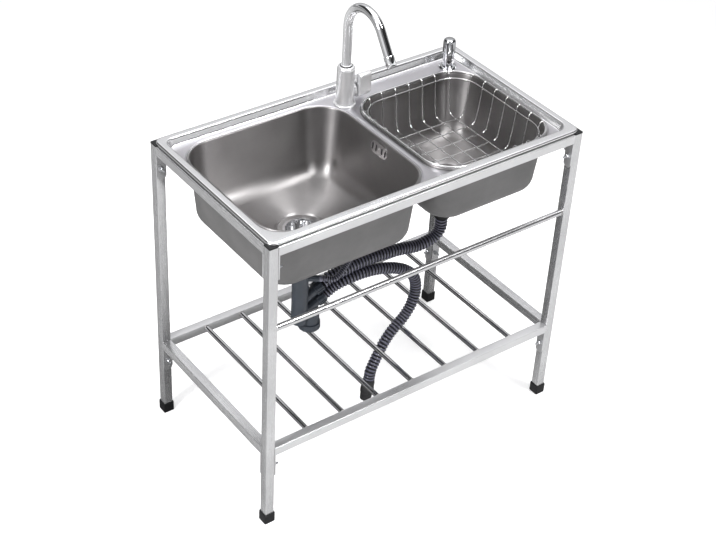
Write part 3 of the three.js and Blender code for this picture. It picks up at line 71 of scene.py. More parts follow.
class Form:
    """Skins in millimetres that become one mesh, each with its own finish number."""

    def __init__(self):
        self.points, self.faces, self.kinds = [], [], []

    def add(self, points, faces, kind=0, at=None):
        first = len(self.points)
        self.points += [at @ Vector(p) if at else Vector(p) for p in points]
        self.faces += [tuple(first + i for i in face) for face in faces]
        self.kinds += [kind] * len(faces)
        return self

    def rings(self, rings, kind=0, at=None, looped=False, capped=True):
        """Skins rings of equally many points. Two open ends get flat caps, if asked for."""
        size, count = len(rings[0]), len(rings)
        bands = [(k, (k + 1) % count) for k in range(count if looped else count - 1)]
        faces = [
            (a * size + i, a * size + (i + 1) % size, b * size + (i + 1) % size, b * size + i)
            for a, b in bands for i in range(size)
        ]
        if capped and not looped:
            last = (count - 1) * size
            faces += [tuple(reversed(range(size))), tuple(range(last, last + size))]
        return self.add([p for ring in rings for p in ring], faces, kind, at)

    def turned(self, profile, sides=48, kind=0, at=None):
        """Turns (radius, z) pairs about Z. A profile that starts or ends at radius 0 is capped."""
        angles = [2 * pi * i / sides for i in range(sides)]
        rings = [[(r * cos(a), r * sin(a), z) for a in angles]
                 for r, z in [(max(radius, AXIS_RADIUS), z) for radius, z in profile]]
        on_axis = profile[0][0] == 0 or profile[-1][0] == 0
        return self.rings(rings, kind, at, looped=not on_axis)

    def swept(self, line, radius, sides=16, kind=0, at=None, looped=False):
        """A tube along points. The radius is a number or one number for each point."""
        line = [Vector(p) for p in line]
        count = len(line)
        rings, side = [], None
        for i, point in enumerate(line):
            ahead = line[(i + 1) % count] if looped else line[min(i + 1, count - 1)]
            way = (ahead - line[i - 1 if i or looped else 0]).normalized()
            if side is None:
                side = way.orthogonal() if abs(way.z) > 0.9 else way.cross(Vector((0, 0, 1)))
            side = (side - way * side.dot(way)).normalized()
            other = way.cross(side)
            size = radius[i] if isinstance(radius, list) else radius
            rings.append([
                point + size * (cos(a) * side + sin(a) * other)
                for a in [2 * pi * k / sides for k in range(sides)]
            ])
        return self.rings(rings, kind, at, looped)

    def piece(self, name, finishes, stands_for=(), slot=None, body="frame_and_sink", crease=32,
              weld=0.0):
        """Makes the mesh in metres, with sharp edges only where faces meet at a steep angle."""
        mesh = bpy.data.meshes.new(name)
        mesh.from_pydata([p * MM for p in self.points], [], self.faces)
        for face, kind in zip(mesh.polygons, self.kinds):
            face.material_index = kind
        work = bmesh.new()
        work.from_mesh(mesh)
        if weld:
            bmesh.ops.remove_doubles(work, verts=work.verts, dist=weld * MM)
        bmesh.ops.recalc_face_normals(work, faces=work.faces)
        for face in work.faces:
            face.smooth = True
        for edge in work.edges:
            edge.smooth = edge.calc_face_angle(0) < radians(crease)
        work.to_mesh(mesh)
        work.free()
        made = bpy.data.objects.new(name, mesh)
        scene.collection.objects.link(made)
        for finish in finishes:
            mesh.materials.append(finish)
        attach(made, body)
        if stands_for:
            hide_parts(*stands_for)
        return made


def node_group(name, inputs, outputs):
    """An empty shader group with named sockets, returned with its two end nodes."""
    tree = bpy.data.node_groups.new(name, "ShaderNodeTree")
    for label, kind, value in inputs:
        socket = tree.interface.new_socket(label, in_out="INPUT", socket_type=kind)
        socket.default_value = value
    for label, kind in outputs:
        tree.interface.new_socket(label, in_out="OUTPUT", socket_type=kind)
    return tree, tree.nodes.new("NodeGroupInput"), tree.nodes.new("NodeGroupOutput")


def node(tree, kind, links=(), **settings):
    """Adds a node with its settings. Each link pairs an input with a socket or a value."""
    made = tree.nodes.new(kind)
    for key, value in settings.items():
        if hasattr(made, key):
            setattr(made, key, value)
        else:
            made.inputs[key.replace("_", " ")].default_value = value
    for label, source in links:
        if isinstance(source, bpy.types.NodeSocket):
            tree.links.new(source, made.inputs[label])
        else:
            made.inputs[label].default_value = source
    return made


# Grain: a fine even noise, as on moulded plastic, and a slow one for dull and shiny patches.
GRAIN_DEPTH = 0.0003
grain_tree, grain_in, grain_out = node_group(
    "moulded grain",
    [("Scale", "NodeSocketFloat", 900.0), ("Patch Scale", "NodeSocketFloat", 9.0)],
    [("Height", "NodeSocketFloat"), ("Patches", "NodeSocketFloat")],
)
place_in = node(grain_tree, "ShaderNodeTexCoord").outputs["Object"]
fine = node(grain_tree, "ShaderNodeTexNoise",
            [("Vector", place_in), ("Scale", grain_in.outputs["Scale"])], Detail=3.0)
slow = node(grain_tree, "ShaderNodeTexNoise",
            [("Vector", place_in), ("Scale", grain_in.outputs["Patch Scale"])],
            Detail=4.0, Roughness=0.6)
grain_tree.links.new(fine.outputs["Fac"], grain_out.inputs["Height"])
grain_tree.links.new(slow.outputs["Fac"], grain_out.inputs["Patches"])


def surface(name, colour, roughness, metallic=0.0, **sockets):
    """A Principled material with plain values on the shader's own sockets."""
    made = bpy.data.materials.new(name)
    made.use_nodes = True
    shader = made.node_tree.nodes["Principled BSDF"]
    shader.inputs["Base Color"].default_value = (*colour, 1)
    shader.inputs["Roughness"].default_value = roughness
    shader.inputs["Metallic"].default_value = metallic
    for key, value in sockets.items():
        shader.inputs[key.replace("_", " ")].default_value = value
    return made, made.node_tree, shader


def spread(tree, value, low, high):
    """Maps a mask from 0.3 to 0.7 onto a range."""
    return node(tree, "ShaderNodeMapRange", [("Value", value)], From_Min=0.3, From_Max=0.7,
                To_Min=low, To_Max=high).outputs["Result"]


def between(tree, mask, first, second):
    """Mixes two colours by a mask."""
    mixed = node(tree, "ShaderNodeMix", [("Factor", mask)], data_type="RGBA")
    colours = [socket for socket in mixed.inputs if socket.type == "RGBA"]
    colours[0].default_value, colours[1].default_value = (*first, 1), (*second, 1)
    return next(socket for socket in mixed.outputs if socket.type == "RGBA")


def moulded(name, dark, pale, roughness, scale=900.0, bump=0.05, **sockets):
    """Plastic or rubber: two close tones in patches, uneven gloss and a fine grain."""
    made, tree, shader = surface(name, dark, roughness, **sockets)
    grain = node(tree, "ShaderNodeGroup", node_tree=grain_tree)
    grain.inputs["Scale"].default_value = scale
    tree.links.new(between(tree, spread(tree, grain.outputs["Patches"], 0, 1), dark, pale),
                   shader.inputs["Base Color"])
    tree.links.new(spread(tree, grain.outputs["Patches"], roughness - 0.06, roughness + 0.08),
                   shader.inputs["Roughness"])
    raised = node(tree, "ShaderNodeBump", [("Height", grain.outputs["Height"])],
                  Strength=bump, Distance=GRAIN_DEPTH)
    tree.links.new(raised.outputs["Normal"], shader.inputs["Normal"])
    return made


# Painted highlight and painted shade: the ribs' crests are a lighter tone than the black plastic,
# and the grooves are near-black.
rib_painted_highlight = moulded("hose ribs painted highlight", (0.085, 0.085, 0.125), (0.17, 0.17, 0.225), 0.16,
                      bump=0.02, Coat_Weight=1.0, Coat_Roughness=0.12)
groove_painted_shade = moulded("hose grooves painted shade", (0.004, 0.004, 0.007), (0.009, 0.009, 0.014), 0.5,
                         bump=0.02)
black_rubber = moulded("black rubber", (0.012, 0.012, 0.013), (0.03, 0.03, 0.032), 0.5, bump=0.12)


def smooth_line(stops, spacing):
    """A centripetal curve through the stops, with points about the spacing apart."""
    stops = [Vector(p) for p in stops]
    ends = [2 * stops[0] - stops[1], *stops, 2 * stops[-1] - stops[-2]]
    parts, fine_line = 24, []
    for a, b, c, d in zip(ends, ends[1:], ends[2:], ends[3:]):
        ab, bc, cd = ((q - p).length ** 0.5 for p, q in ((a, b), (b, c), (c, d)))
        start = ((b - a) / ab - (c - a) / (ab + bc) + (c - b) / bc) * bc
        end = ((c - b) / bc - (d - b) / (bc + cd) + (d - c) / cd) * bc
        for k in range(parts):
            t = k / parts
            fine_line.append(b + start * t + (3 * (c - b) - 2 * start - end) * t * t
                             + (2 * (b - c) + start + end) * t ** 3)
    fine_line.append(stops[-1])
    along = [0.0]
    for p, q in zip(fine_line, fine_line[1:]):
        along.append(along[-1] + (q - p).length)
    steps = round(along[-1] / spacing)
    line, k = [], 0
    for i in range(steps + 1):
        want = along[-1] * i / steps
        while k < len(along) - 2 and along[k + 1] < want:
            k += 1
        share = (want - along[k]) / (along[k + 1] - along[k])
        line.append(fine_line[k].lerp(fine_line[k + 1], share))
    return line, along[-1]


RINGS_PER_RIB = 8
PAINTED_SHADE_RINGS = (2, 3, 4, 5)
RIB_FULLNESS = 0.6
CUFF_SWELL = 1.7


def ribbed_hose(name, stops, radius, depth, pitch, cuffs=(0, 0), sides=24):
    """A tube whose radius swells at each rib, with plain cuffs as long as given at its two ends."""
    line, length = smooth_line(stops, pitch / RINGS_PER_RIB)
    step = length / (len(line) - 1)
    sizes = []
    for i in range(len(line)):
        swell = (0.5 + 0.5 * cos(2 * pi * i / RINGS_PER_RIB)) ** RIB_FULLNESS
        if i * step < cuffs[0] or length - i * step < cuffs[1]:
            swell = CUFF_SWELL
        sizes.append(radius - depth * (1 - swell))
    form = Form().swept(line, sizes, sides)
    # Faces in each groove take the near-black finish: painted shade.
    for k in range(len(line) - 1):
        if k % RINGS_PER_RIB in PAINTED_SHADE_RINGS and sizes[k] <= radius:
            form.kinds[k * sides:(k + 1) * sides] = [1] * sides
    made = form.piece(name, [rib_painted_highlight, groove_painted_shade], [name.replace("ribbed_", "")],
                      "hose_plastic", crease=60)
    return made, line, length


TEE = Vector((-177, -6, 0))
BRANCH_RISE = radians(26)
CROSS_BRANCH_Z, OUTLET_BRANCH_Z = 379, 342


def on_branch(z, distance):
    """A point on one of the tee's two rising branches."""
    return TEE + Vector((distance * cos(BRANCH_RISE), 0, z + distance * sin(BRANCH_RISE)))


def facing(place, way):
    """A frame at a point whose Z looks along a direction."""
    turn = Vector((0, 0, 1)).rotation_difference(way).to_matrix().to_4x4()
    return Matrix.Translation(place) @ turn


# The outlet hose's ribs stand a millimetre past its nominal size, as the photograph shows.
HOSE_RADIUS, RIB_RADIUS, RIB_DEPTH, RIB_PITCH = 13.0, 14.0, 3.0, 8.0
OUTLET_STOPS = [on_branch(OUTLET_BRANCH_Z, d) for d in (72, 84, 96)] + [
    (-63, -12, 396), (-28, -17, 402.5), (6, -21, 403.5), (34, -23.5, 400), (60, -26, 393),
    (86, -28, 382), (110, -30, 366), (127, -32, 347), (134, -34, 325), (134, -36, 304),
    (127, -38.5, 282), (115, -41, 262), (98, -44, 246), (78, -47.5, 234.5), (56, -51.5, 222),
    (36, -55.5, 205), (18, -59.5, 183), (3, -62.5, 161), (-7.4, -64.4, 141.8), (-9.7, -65.2, 130),
    (-12, -66, 118),
]
outlet_hose, outlet_line, outlet_length = ribbed_hose(
    "ribbed_outlet_hose", OUTLET_STOPS, RIB_RADIUS, RIB_DEPTH, RIB_PITCH)

heading = Vector(OUTLET_STOPS[-1]) - Vector(OUTLET_STOPS[-2])
fitting = Form().turned([
    (0, 0.4), (12.2, 0.4), (13.4, 1.0), (14.2, 2.2), (14.6, 4), (14.6, 6), (15, 6.6), (15, 8.4),
    (14.6, 9), (14.6, 11), (15, 11.6), (15, 13.4), (14.6, 14), (14.6, 16), (15, 16.6), (15, 18.4),
    (14.6, 19), (15.2, 21), (15.8, 22.2), (16, 23.4), (16, 32.8), (15.6, 34.2), (14.6, 35.6),
    (14.3, 37), (14.15, 42), (13.7, 53), (13.3, 53.8), (11.2, 54), (10.4, 53.6), (10, 52.4),
    (9.6, 20), (0, 20),
], 48, 0, facing(OUTLET_STOPS[-1], heading))
outlet_end = fitting.piece("rubber_outlet_fitting", [black_rubber], ["outlet_fitting"],
                           "black_plastic")

CROSS_RADIUS, CROSS_DEPTH, CROSS_ARCH = 15.0, 3.4, 13
tail_end = Vector((207, -21, 482))
leave = [tail_end + Vector(p) for p in (
    (0, 0, 0), (0, 0, -13), (0, 0, -26), (-3, 0, -38), (-11, 0, -49), (-25, 1, -57),
    (-43, 1, -60), (-65, 2, -62))]
arrive = [on_branch(CROSS_BRANCH_Z, d) for d in (87.7, 75.7, 63.7)]
across = [leave[-1].lerp(arrive[0], s) + Vector((0, 0, CROSS_ARCH * sin(s * pi)))
          for s in (0.2, 0.4, 0.6, 0.8)]
ribbed_hose("ribbed_cross_hose", leave + across + arrive, CROSS_RADIUS, CROSS_DEPTH, RIB_PITCH)

# The overflow's elbow leans with the bowl's wall; its spigot is where the thin hose starts.
WALL_LEAN = atan(12 / 119)
PORT_TURN = radians(-34)
down = Vector((-sin(WALL_LEAN), 0, -cos(WALL_LEAN)))
spigot = Matrix.Rotation(WALL_LEAN, 3, "Y") @ Vector((13.6, 0, -25.3)) + Vector((18.28, -12, 720))
bend = spigot + 116 * down
port_way = Vector((cos(PORT_TURN), sin(PORT_TURN), 0))
ribbed_hose(
    "ribbed_overflow_hose",
    [spigot + d * down for d in (0, 7, 14, 60, 116)]
    + [bend + Vector(p) for p in ((-2, -1, -32), (-17, -6, -66), (-42, -13, -90), (-76, -20, -106))]
    + [TEE + Vector((0, 0, 447)) + d * port_way for d in (76, 56, 49, 42)],
    radius=7.0, depth=1.2, pitch=5.0, cuffs=(6, 6), sides=16)

# ---------------------------------------------------------------- drain tee and nuts
# A waste tee with a trap cup and a cleanout cap, moulded in slate-coloured plastic. Nuts with
# raised lugs for the fingers hold the hoses on its branches and the drain cups in the bowls.
slate_plastic = moulded("slate plastic", (0.022, 0.029, 0.040), (0.045, 0.055, 0.072), 0.34,
                        bump=0.06, Coat_Weight=0.2, Coat_Roughness=0.2)
black_plastic = moulded("black plastic", (0.006, 0.006, 0.007), (0.014, 0.014, 0.016), 0.5,
                        bump=0.08, Specular_IOR_Level=0.3)

# Even shading: a kept CAD piece is shaded smooth between its soft edges. Its shape stays.
SOFT_EDGE = radians(34)
shading = bpy.data.node_groups.new("even shading", "GeometryNodeTree")
shading.is_modifier = True
shading.interface.new_socket("Geometry", in_out="INPUT", socket_type="NodeSocketGeometry")
shading.interface.new_socket("Geometry", in_out="OUTPUT", socket_type="NodeSocketGeometry")
shape_in, shape_out = shading.nodes.new("NodeGroupInput"), shading.nodes.new("NodeGroupOutput")
joined = node(shading, "GeometryNodeMergeByDistance", [("Geometry", shape_in.outputs[0])],
              Distance=0.02 * MM)
rounded = node(shading, "GeometryNodeSetShadeSmooth", [("Geometry", joined.outputs[0])],
               domain="FACE")
angle = node(shading, "GeometryNodeInputMeshEdgeAngle").outputs["Unsigned Angle"]
gentle = node(shading, "FunctionNodeCompare", data_type="FLOAT", operation="LESS_THAN")
shading.links.new(angle, gentle.inputs[0])
gentle.inputs[1].default_value = SOFT_EDGE
creased = node(shading, "GeometryNodeSetShadeSmooth",
               [("Geometry", rounded.outputs[0]), ("Shade Smooth", gentle.outputs[0])],
               domain="EDGE")
shading.links.new(creased.outputs[0], shape_out.inputs[0])


def keep(finish, *names):
    """Gives CAD pieces that stay in view a finish and even shading."""
    for name in names:
        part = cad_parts[name]
        part.data.materials.clear()
        part.data.materials.append(finish)
        part.modifiers.new("even shading", "NODES").node_group = shading


keep(slate_plastic, "drain_tee", "cleanout_cap", "left_drain_nut", "right_drain_nut")
keep(black_plastic, "right_tailpiece")

NUT_LENGTH, LUGS = 21, 12
for name, branch_z, nut_end in (("cross_hose_nut", CROSS_BRANCH_Z, 63.7),
                                ("outlet_hose_nut", OUTLET_BRANCH_Z, 72)):
    start = on_branch(branch_z, nut_end - NUT_LENGTH)
    nut_at = facing(start, on_branch(branch_z, nut_end) - start)
    nut = Form().turned([
        (12.6, 0.2), (14.6, 0.2), (15.4, 1), (15.4, 3.2), (14.6, 4), (14.6, 17), (15.4, 17.8),
        (15.4, 20), (14.6, 20.7), (12.6, 20.7),
    ], 72, 0, nut_at)
    for k in range(LUGS):
        nut.rings([
            [(x, y * (1 - taper), z) for x, y in (
                (14.2, -1.6), (16 - taper, -1.3), (16 - taper, 1.3), (14.2, 1.6))]
            for z, taper in ((3.4, 0.6), (4.4, 0), (16.4, 0), (17.4, 0.6))
        ], 0, nut_at @ Matrix.Rotation(k * pi * 2 / LUGS, 4, "Z"))
    nut.piece(f"lugged_{name}", [slate_plastic], [name], "slate_plastic")

# ---------------------------------------------------------------- studio
# A white floor that runs into a white wall, under one wide soft lamp and two strips. Polished
# steel mirrors another room: pale above, with dark and bright upright screens round about.
FLOOR_HALF, FLOOR_Z, FLOOR_GLOW = 14.0, -0.0004, 0.42
floor_finish, ground, floor_shader = surface("studio floor", (0.90, 0.90, 0.90), 0.95,
                                             Specular_IOR_Level=0.0)
rays = node(ground, "ShaderNodeLightPath").outputs
glow = node(ground, "ShaderNodeEmission", Strength=FLOOR_GLOW)
lifted = node(ground, "ShaderNodeAddShader", [(0, floor_shader.outputs[0]), (1, glow.outputs[0])])


def ramp(tree, value, low, high, at_low, at_high):
    """A smooth step from one value to another."""
    return node(tree, "ShaderNodeMapRange", [("Value", value)], interpolation_type="SMOOTHSTEP",
                From_Min=low, From_Max=high, To_Min=at_low, To_Max=at_high).outputs["Result"]


def maths(tree, operation, *values):
    """One arithmetic step on sockets or numbers."""
    return node(tree, "ShaderNodeMath", list(enumerate(values)), operation=operation).outputs[0]


# In polished steel the floor shows painted light: it glows white in front and grey behind, with
# painted shade under the shelf where the unit's shadow falls.
place = node(ground, "ShaderNodeTexCoord").outputs["Object"]
spot = node(ground, "ShaderNodeSeparateXYZ", [("Vector", place)]).outputs
front_to_back = ramp(ground, spot["Y"], -0.45, 0.1, 0.95, 0.42)
beside = ramp(ground, maths(ground, "ABSOLUTE", spot["X"]), 0.25, 0.62, 0.0, 1.0)
before = ramp(ground, spot["Y"], -0.35, 0.05, 1.0, 0.22)
outside_painted_shade = maths(ground, "MAXIMUM", beside, before)
floor_painted_for_reflections = node(ground, "ShaderNodeEmission",
                [("Strength", maths(ground, "MULTIPLY", front_to_back, outside_painted_shade))])
by_ray = node(ground, "ShaderNodeMixShader",
              [("Fac", rays["Is Glossy Ray"]), (1, lifted.outputs[0]), (2, floor_painted_for_reflections.outputs[0])])
# Seen from the camera the floor fades into the white wall, so that no horizon shows.
far = node(ground, "ShaderNodeVectorMath", [(0, place)], operation="LENGTH").outputs["Value"]
fade = maths(ground, "MULTIPLY", ramp(ground, far, 0.9, 2.6, 0, 1), rays["Is Camera Ray"])
white = node(ground, "ShaderNodeEmission", Strength=1.0).outputs[0]
faded = node(ground, "ShaderNodeMixShader", [("Fac", fade), (1, by_ray.outputs[0]), (2, white)])
ground.links.new(faded.outputs[0], ground.nodes["Material Output"].inputs["Surface"])
floor_mesh = bpy.data.meshes.new("studio_floor")
floor_mesh.from_pydata([(x * FLOOR_HALF, y * FLOOR_HALF, FLOOR_Z)
                        for x, y in ((-1, -1), (1, -1), (1, 1), (-1, 1))], [], [(0, 1, 2, 3)])
studio_floor = bpy.data.objects.new("studio_floor", floor_mesh)
floor_mesh.materials.append(floor_finish)
scene.collection.objects.link(studio_floor)


def lamp(name, where, towards, width, tall, power):
    """A rectangular lamp that faces a point."""
    data = bpy.data.lights.new(name, "AREA")
    data.shape = "RECTANGLE"
    data.size, data.size_y = width, tall
    data.energy = power
    made = bpy.data.objects.new(name, data)
    scene.collection.objects.link(made)
    made.location = where
    made.rotation_euler = (Vector(towards) - Vector(where)).to_track_quat("-Z", "Y").to_euler()


lamp("overhead_lamp", (0.2, 0.3, 3.4), (0, 0, 0.5), 3.0, 3.0, 34)
lamp("front_strip_lamp", (0.75, -1.25, 3.3), (0.0, 0.1, 0.7), 0.40, 1.4, 62)
lamp("left_strip_lamp", (-2.2, -0.45, 2.7), (0.0, 0.0, 0.7), 0.40, 1.8, 66)

world = bpy.data.worlds.new("studio")
scene.world = world
world.use_nodes = True
sky = world.node_tree
sky.nodes.clear()
way = node(sky, "ShaderNodeTexCoord").outputs["Generated"]
axes = node(sky, "ShaderNodeSeparateXYZ", [("Vector", way)]).outputs
bearing = maths(sky, "ARCTAN2", axes["X"], maths(sky, "MULTIPLY", axes["Y"], -1.0))


def screen(middle, half_wide, low, high, soft=0.05):
    """A mask for one upright screen: its bearing right of the front and its heights as sines."""
    off = maths(sky, "SUBTRACT", bearing, radians(middle))
    away, edge = maths(sky, "ABSOLUTE", off), radians(half_wide)
    sides = ramp(sky, away, edge - 2 * soft, edge + 2 * soft, 1, 0)
    over = ramp(sky, axes["Z"], low - soft, low + soft, 0, 1)
    below = ramp(sky, axes["Z"], high - soft, high + soft, 1, 0)
    return maths(sky, "MULTIPLY", sides, maths(sky, "MULTIPLY", over, below))


tone = ramp(sky, axes["Z"], 0.2, 0.9, 0.55, 0.9)
for mask, brightness in (
    (screen(180, 75, -1, 0.10), 0.10),
    (screen(-180, 75, -1, 0.10), 0.10),
    (screen(-142, 34, 0.25, 0.85, 0.06), 0.03),
    (screen(-22, 26, 0.25, 0.92), 0.15),
    (screen(42, 54, 0.10, 0.72, 0.03), 0.01),
    (screen(26, 42, -1, 0.10, 0.025), 1.25),
    (screen(-70, 25, -1, 0.3, 0.08), 0.8),
):
    tone = node(sky, "ShaderNodeMix", [("Factor", mask), ("A", tone), ("B", brightness)],
                data_type="FLOAT").outputs["Result"]
studio_light = node(sky, "ShaderNodeBackground",
                    [("Strength", tone), ("Color", (0.985, 0.985, 1.0, 1))])
white_wall = node(sky, "ShaderNodeBackground", [("Strength", 1.0), ("Color", (1, 1, 1, 1))])
seen = node(sky, "ShaderNodeLightPath").outputs["Is Camera Ray"]
chosen = node(sky, "ShaderNodeMixShader",
              [("Fac", seen), (1, studio_light.outputs[0]), (2, white_wall.outputs[0])])
node(sky, "ShaderNodeOutputWorld", [("Surface", chosen.outputs[0])])
scene.view_settings.view_transform = "Standard"

# ---------------------------------------------------------------- legs, feet and caps
# Four legs of polished square tube with drawn round corners. Each stands in a black moulded
# cup and is closed by a black cap.


def outline(x0, x1, y0, y1, radii, grow=0.0, steps=6):
    """A rectangle with round corners: front left, front right, rear right, rear left."""
    radii = radii if isinstance(radii, (list, tuple)) else [radii] * 4
    corners = ((x0, y0, 1, 1, 180), (x1, y0, -1, 1, 270), (x1, y1, -1, -1, 0), (x0, y1, 1, -1, 90))
    return [
        (x + in_x * r + (r + grow) * cos(a), y + in_y * r + (r + grow) * sin(a))
        for (x, y, in_x, in_y, start), r in zip(corners, radii)
        for a in [radians(start + 90 * i / steps) for i in range(steps + 1)]
    ]


def at_z(points, z):
    """Lifts a flat outline to a height."""
    return [(x, y, z) for x, y in points]


# Brushing: long streaks along one direction, with slow dull patches from handling.
STREAK_DEPTH = 0.0002
brush_tree, brush_in, brush_out = node_group(
    "brushed metal",
    [("Stretch", "NodeSocketVector", (40, 900, 900)),
     ("Patch Scale", "NodeSocketFloat", 5.0)],
    [("Streaks", "NodeSocketFloat"), ("Patches", "NodeSocketFloat")],
)
brush_place = node(brush_tree, "ShaderNodeTexCoord").outputs["Object"]
stretched = node(brush_tree, "ShaderNodeVectorMath",
                 [(0, brush_place), (1, brush_in.outputs["Stretch"])], operation="MULTIPLY")
streaks = node(brush_tree, "ShaderNodeTexNoise", [("Vector", stretched.outputs["Vector"])],
               Scale=1.0, Detail=5.0, Roughness=0.65)
patches = node(brush_tree, "ShaderNodeTexNoise",
               [("Vector", brush_place), ("Scale", brush_in.outputs["Patch Scale"])],
               Detail=5.0, Roughness=0.6)
brush_tree.links.new(streaks.outputs["Fac"], brush_out.inputs["Streaks"])
brush_tree.links.new(patches.outputs["Fac"], brush_out.inputs["Patches"])


def brushed(name, dark, pale, roughness, stretch, bump=0.06, uneven=0.05, patch=5.0, **sockets):
    """Metal with streaks in its gloss and height, and slow patches in its tone."""
    made, tree, shader = surface(name, pale, roughness, 1.0, **sockets)
    brush = node(tree, "ShaderNodeGroup", node_tree=brush_tree)
    brush.inputs["Stretch"].default_value = stretch
    brush.inputs["Patch Scale"].default_value = patch
    tree.links.new(between(tree, spread(tree, brush.outputs["Patches"], 0, 1), dark, pale),
                   shader.inputs["Base Color"])
    both = maths(tree, "ADD", brush.outputs["Streaks"], brush.outputs["Patches"])
    tree.links.new(spread(tree, maths(tree, "MULTIPLY", both, 0.5), roughness - uneven,
                          roughness + uneven), shader.inputs["Roughness"])
    raised = node(tree, "ShaderNodeBump", [("Height", brush.outputs["Streaks"])],
                  Strength=bump, Distance=STREAK_DEPTH)
    tree.links.new(raised.outputs["Normal"], shader.inputs["Normal"])
    return made


upright_tube = brushed("upright tube steel", (0.58, 0.58, 0.59), (0.72, 0.72, 0.73), 0.26,
                       (900, 900, 14), Metallic=0.88)
LEG_X, LEG_Y, LEG_TOP, FOOT_TOP = 399, 219, 751, 26
TUBE_HALF, TUBE_CORNER = 11, 1.9
LEG_CORNERS = {"front_left": (-1, -1), "front_right": (1, -1), "rear_left": (-1, 1),
               "rear_right": (1, 1)}
# Each square piece of a leg: its names, finish, half width and corner, then its rings from below
# as (growth, height) pairs.
LEG_PIECES = (
    ("tube_leg", "leg", upright_tube, "tube_steel", TUBE_HALF, TUBE_CORNER, (
        (0, 5.3), (0, 380), (0, LEG_TOP - 0.2))),
    ("moulded_foot", "foot", black_plastic, "black_plastic", 13.5, 3, (
        (-1.6, 0), (-0.5, 0.5), (0, 1.8), (-0.1, 5), (-0.1, FOOT_TOP - 1.6),
        (-0.5, FOOT_TOP - 0.4), (-1.3, FOOT_TOP), (-2.3, FOOT_TOP - 0.2), (-2.3, 6))),
    ("moulded_leg_cap", "leg_cap", black_plastic, "black_plastic", 11.2, 1.7, (
        (-3, LEG_TOP - 11), (-2.2, LEG_TOP - 0.4), (-0.3, LEG_TOP), (0, LEG_TOP + 0.4),
        (0, LEG_TOP + 2.2), (-0.5, LEG_TOP + 3), (-1.3, LEG_TOP + 3.25))),
)
for corner, (side_x, side_y) in LEG_CORNERS.items():
    x, y = side_x * LEG_X, side_y * LEG_Y
    for label, node_name, finish, slot, half, radius, steps in LEG_PIECES:
        Form().rings([
            at_z(outline(x - half, x + half, y - half, y + half, radius, grow, 4), z)
            for grow, z in steps
        ]).piece(f"{label}_{corner}", [finish], [f"{node_name}_{corner}"], slot)

# ---------------------------------------------------------------- rails
# Square tube rails between the legs. A tab is welded to each end and hangs down the leg, where
# a small bolt with a nut holds it.
long_tube = brushed("tube steel brushed along X", (0.64, 0.64, 0.65), (0.78, 0.78, 0.79), 0.30,
                    (14, 900, 900), Metallic=0.8)
cross_tube = brushed("tube steel brushed along Y", (0.64, 0.64, 0.65), (0.78, 0.78, 0.79), 0.26,
                     (900, 14, 900), Metallic=0.85)
zinc = brushed("zinc-plated bolt", (0.55, 0.56, 0.58), (0.75, 0.76, 0.78), 0.3, (300, 300, 300))
weld_metal = brushed("ground weld", (0.42, 0.40, 0.38), (0.66, 0.65, 0.64), 0.42,
                     (500, 500, 500), bump=0.3)
TAB_DROP, TAB_HALF, TAB_CUT = 84, 10, 5
BOLT_DROP, BOLT_PITCH = 57, 0.7


def tab_ring(top, x, grow):
    """An upright outline of a tab under a rail's end, its two lower corners cut off."""
    low, high = top - TAB_DROP, top - 20
    middle = (low + high) / 2
    shape = [(-TAB_HALF, high), (-TAB_HALF, low + TAB_CUT), (TAB_CUT - TAB_HALF, low),
             (TAB_HALF - TAB_CUT, low), (TAB_HALF, low + TAB_CUT), (TAB_HALF, high)]
    return [(x, y + copysign(grow, y), z + copysign(grow, z - middle)) for y, z in shape]


def rail(half, top, at):
    """A rail along X with its tabs, then its bolts and nuts (finish 1) and its welds (finish 2)."""
    form = Form()
    section = outline(-TUBE_HALF, TUBE_HALF, -TUBE_HALF, TUBE_HALF, TUBE_CORNER, 0, 4)
    form.rings([[(x, z, top - TUBE_HALF + y) for y, z in section]
                for x in (-half + 0.1, half - 0.1)], 0, at)
    for end in (-1, 1):
        inner, outer = end * (half - 3), end * (half - 0.1)
        form.rings([tab_ring(top, inner, -0.7), tab_ring(top, inner + end * 0.7, 0),
                    tab_ring(top, outer - end * 0.5, 0), tab_ring(top, outer, -0.4)], 0, at)
        bead = [(inner - end * 0.3, y, top - 2 * TUBE_HALF - 0.2) for y in range(-9, 10)]
        form.swept(bead, [1.3 + 0.35 * sin(2.2 * k) for k in range(len(bead))], 8, 2, at)
        bolt_at = (at @ Matrix.Translation((inner, 0, top - BOLT_DROP))
                   @ Matrix.Rotation(-end * pi / 2, 4, "Y"))
        form.turned([(0, -0.2), (5.6, -0.2), (6, 0.1), (6, 0.9), (5.6, 1.2), (0, 1.2)],
                    24, 1, bolt_at)
        form.turned([(0, 1), (4.4, 1), (4.8, 1.5), (4.8, 4.6), (4.4, 5.2), (0, 5.2)], 6, 1, bolt_at)
        thread = [(0, 5)]
        for k in range(11):
            thread += [(2.45, 5.2 + BOLT_PITCH * k), (2.05, 5.55 + BOLT_PITCH * k)]
        form.turned(thread + [(1.6, 13.2), (0, 13.3)], 16, 1, bolt_at)
    return form


LONG_HALF, CROSS_HALF, SHELF_TOP = 388, 208, 217
across_x = Matrix.Rotation(pi / 2, 4, "Z")
for level_name, top in (("top", LEG_TOP), ("shelf", SHELF_TOP)):
    for side, at, half, tube in (
        ("front", Matrix.Translation((0, -LEG_Y, 0)), LONG_HALF, long_tube),
        ("rear", Matrix.Translation((0, LEG_Y, 0)), LONG_HALF, long_tube),
        ("left", Matrix.Translation((-LEG_X, 0, 0)) @ across_x, CROSS_HALF, cross_tube),
        ("right", Matrix.Translation((LEG_X, 0, 0)) @ across_x, CROSS_HALF, cross_tube),
    ):
        rail(half, top, at).piece(
            f"tube_{level_name}_rail_{side}", [tube, zinc, weld_metal],
            [f"{level_name}_rail_{side}"], "tube_steel")

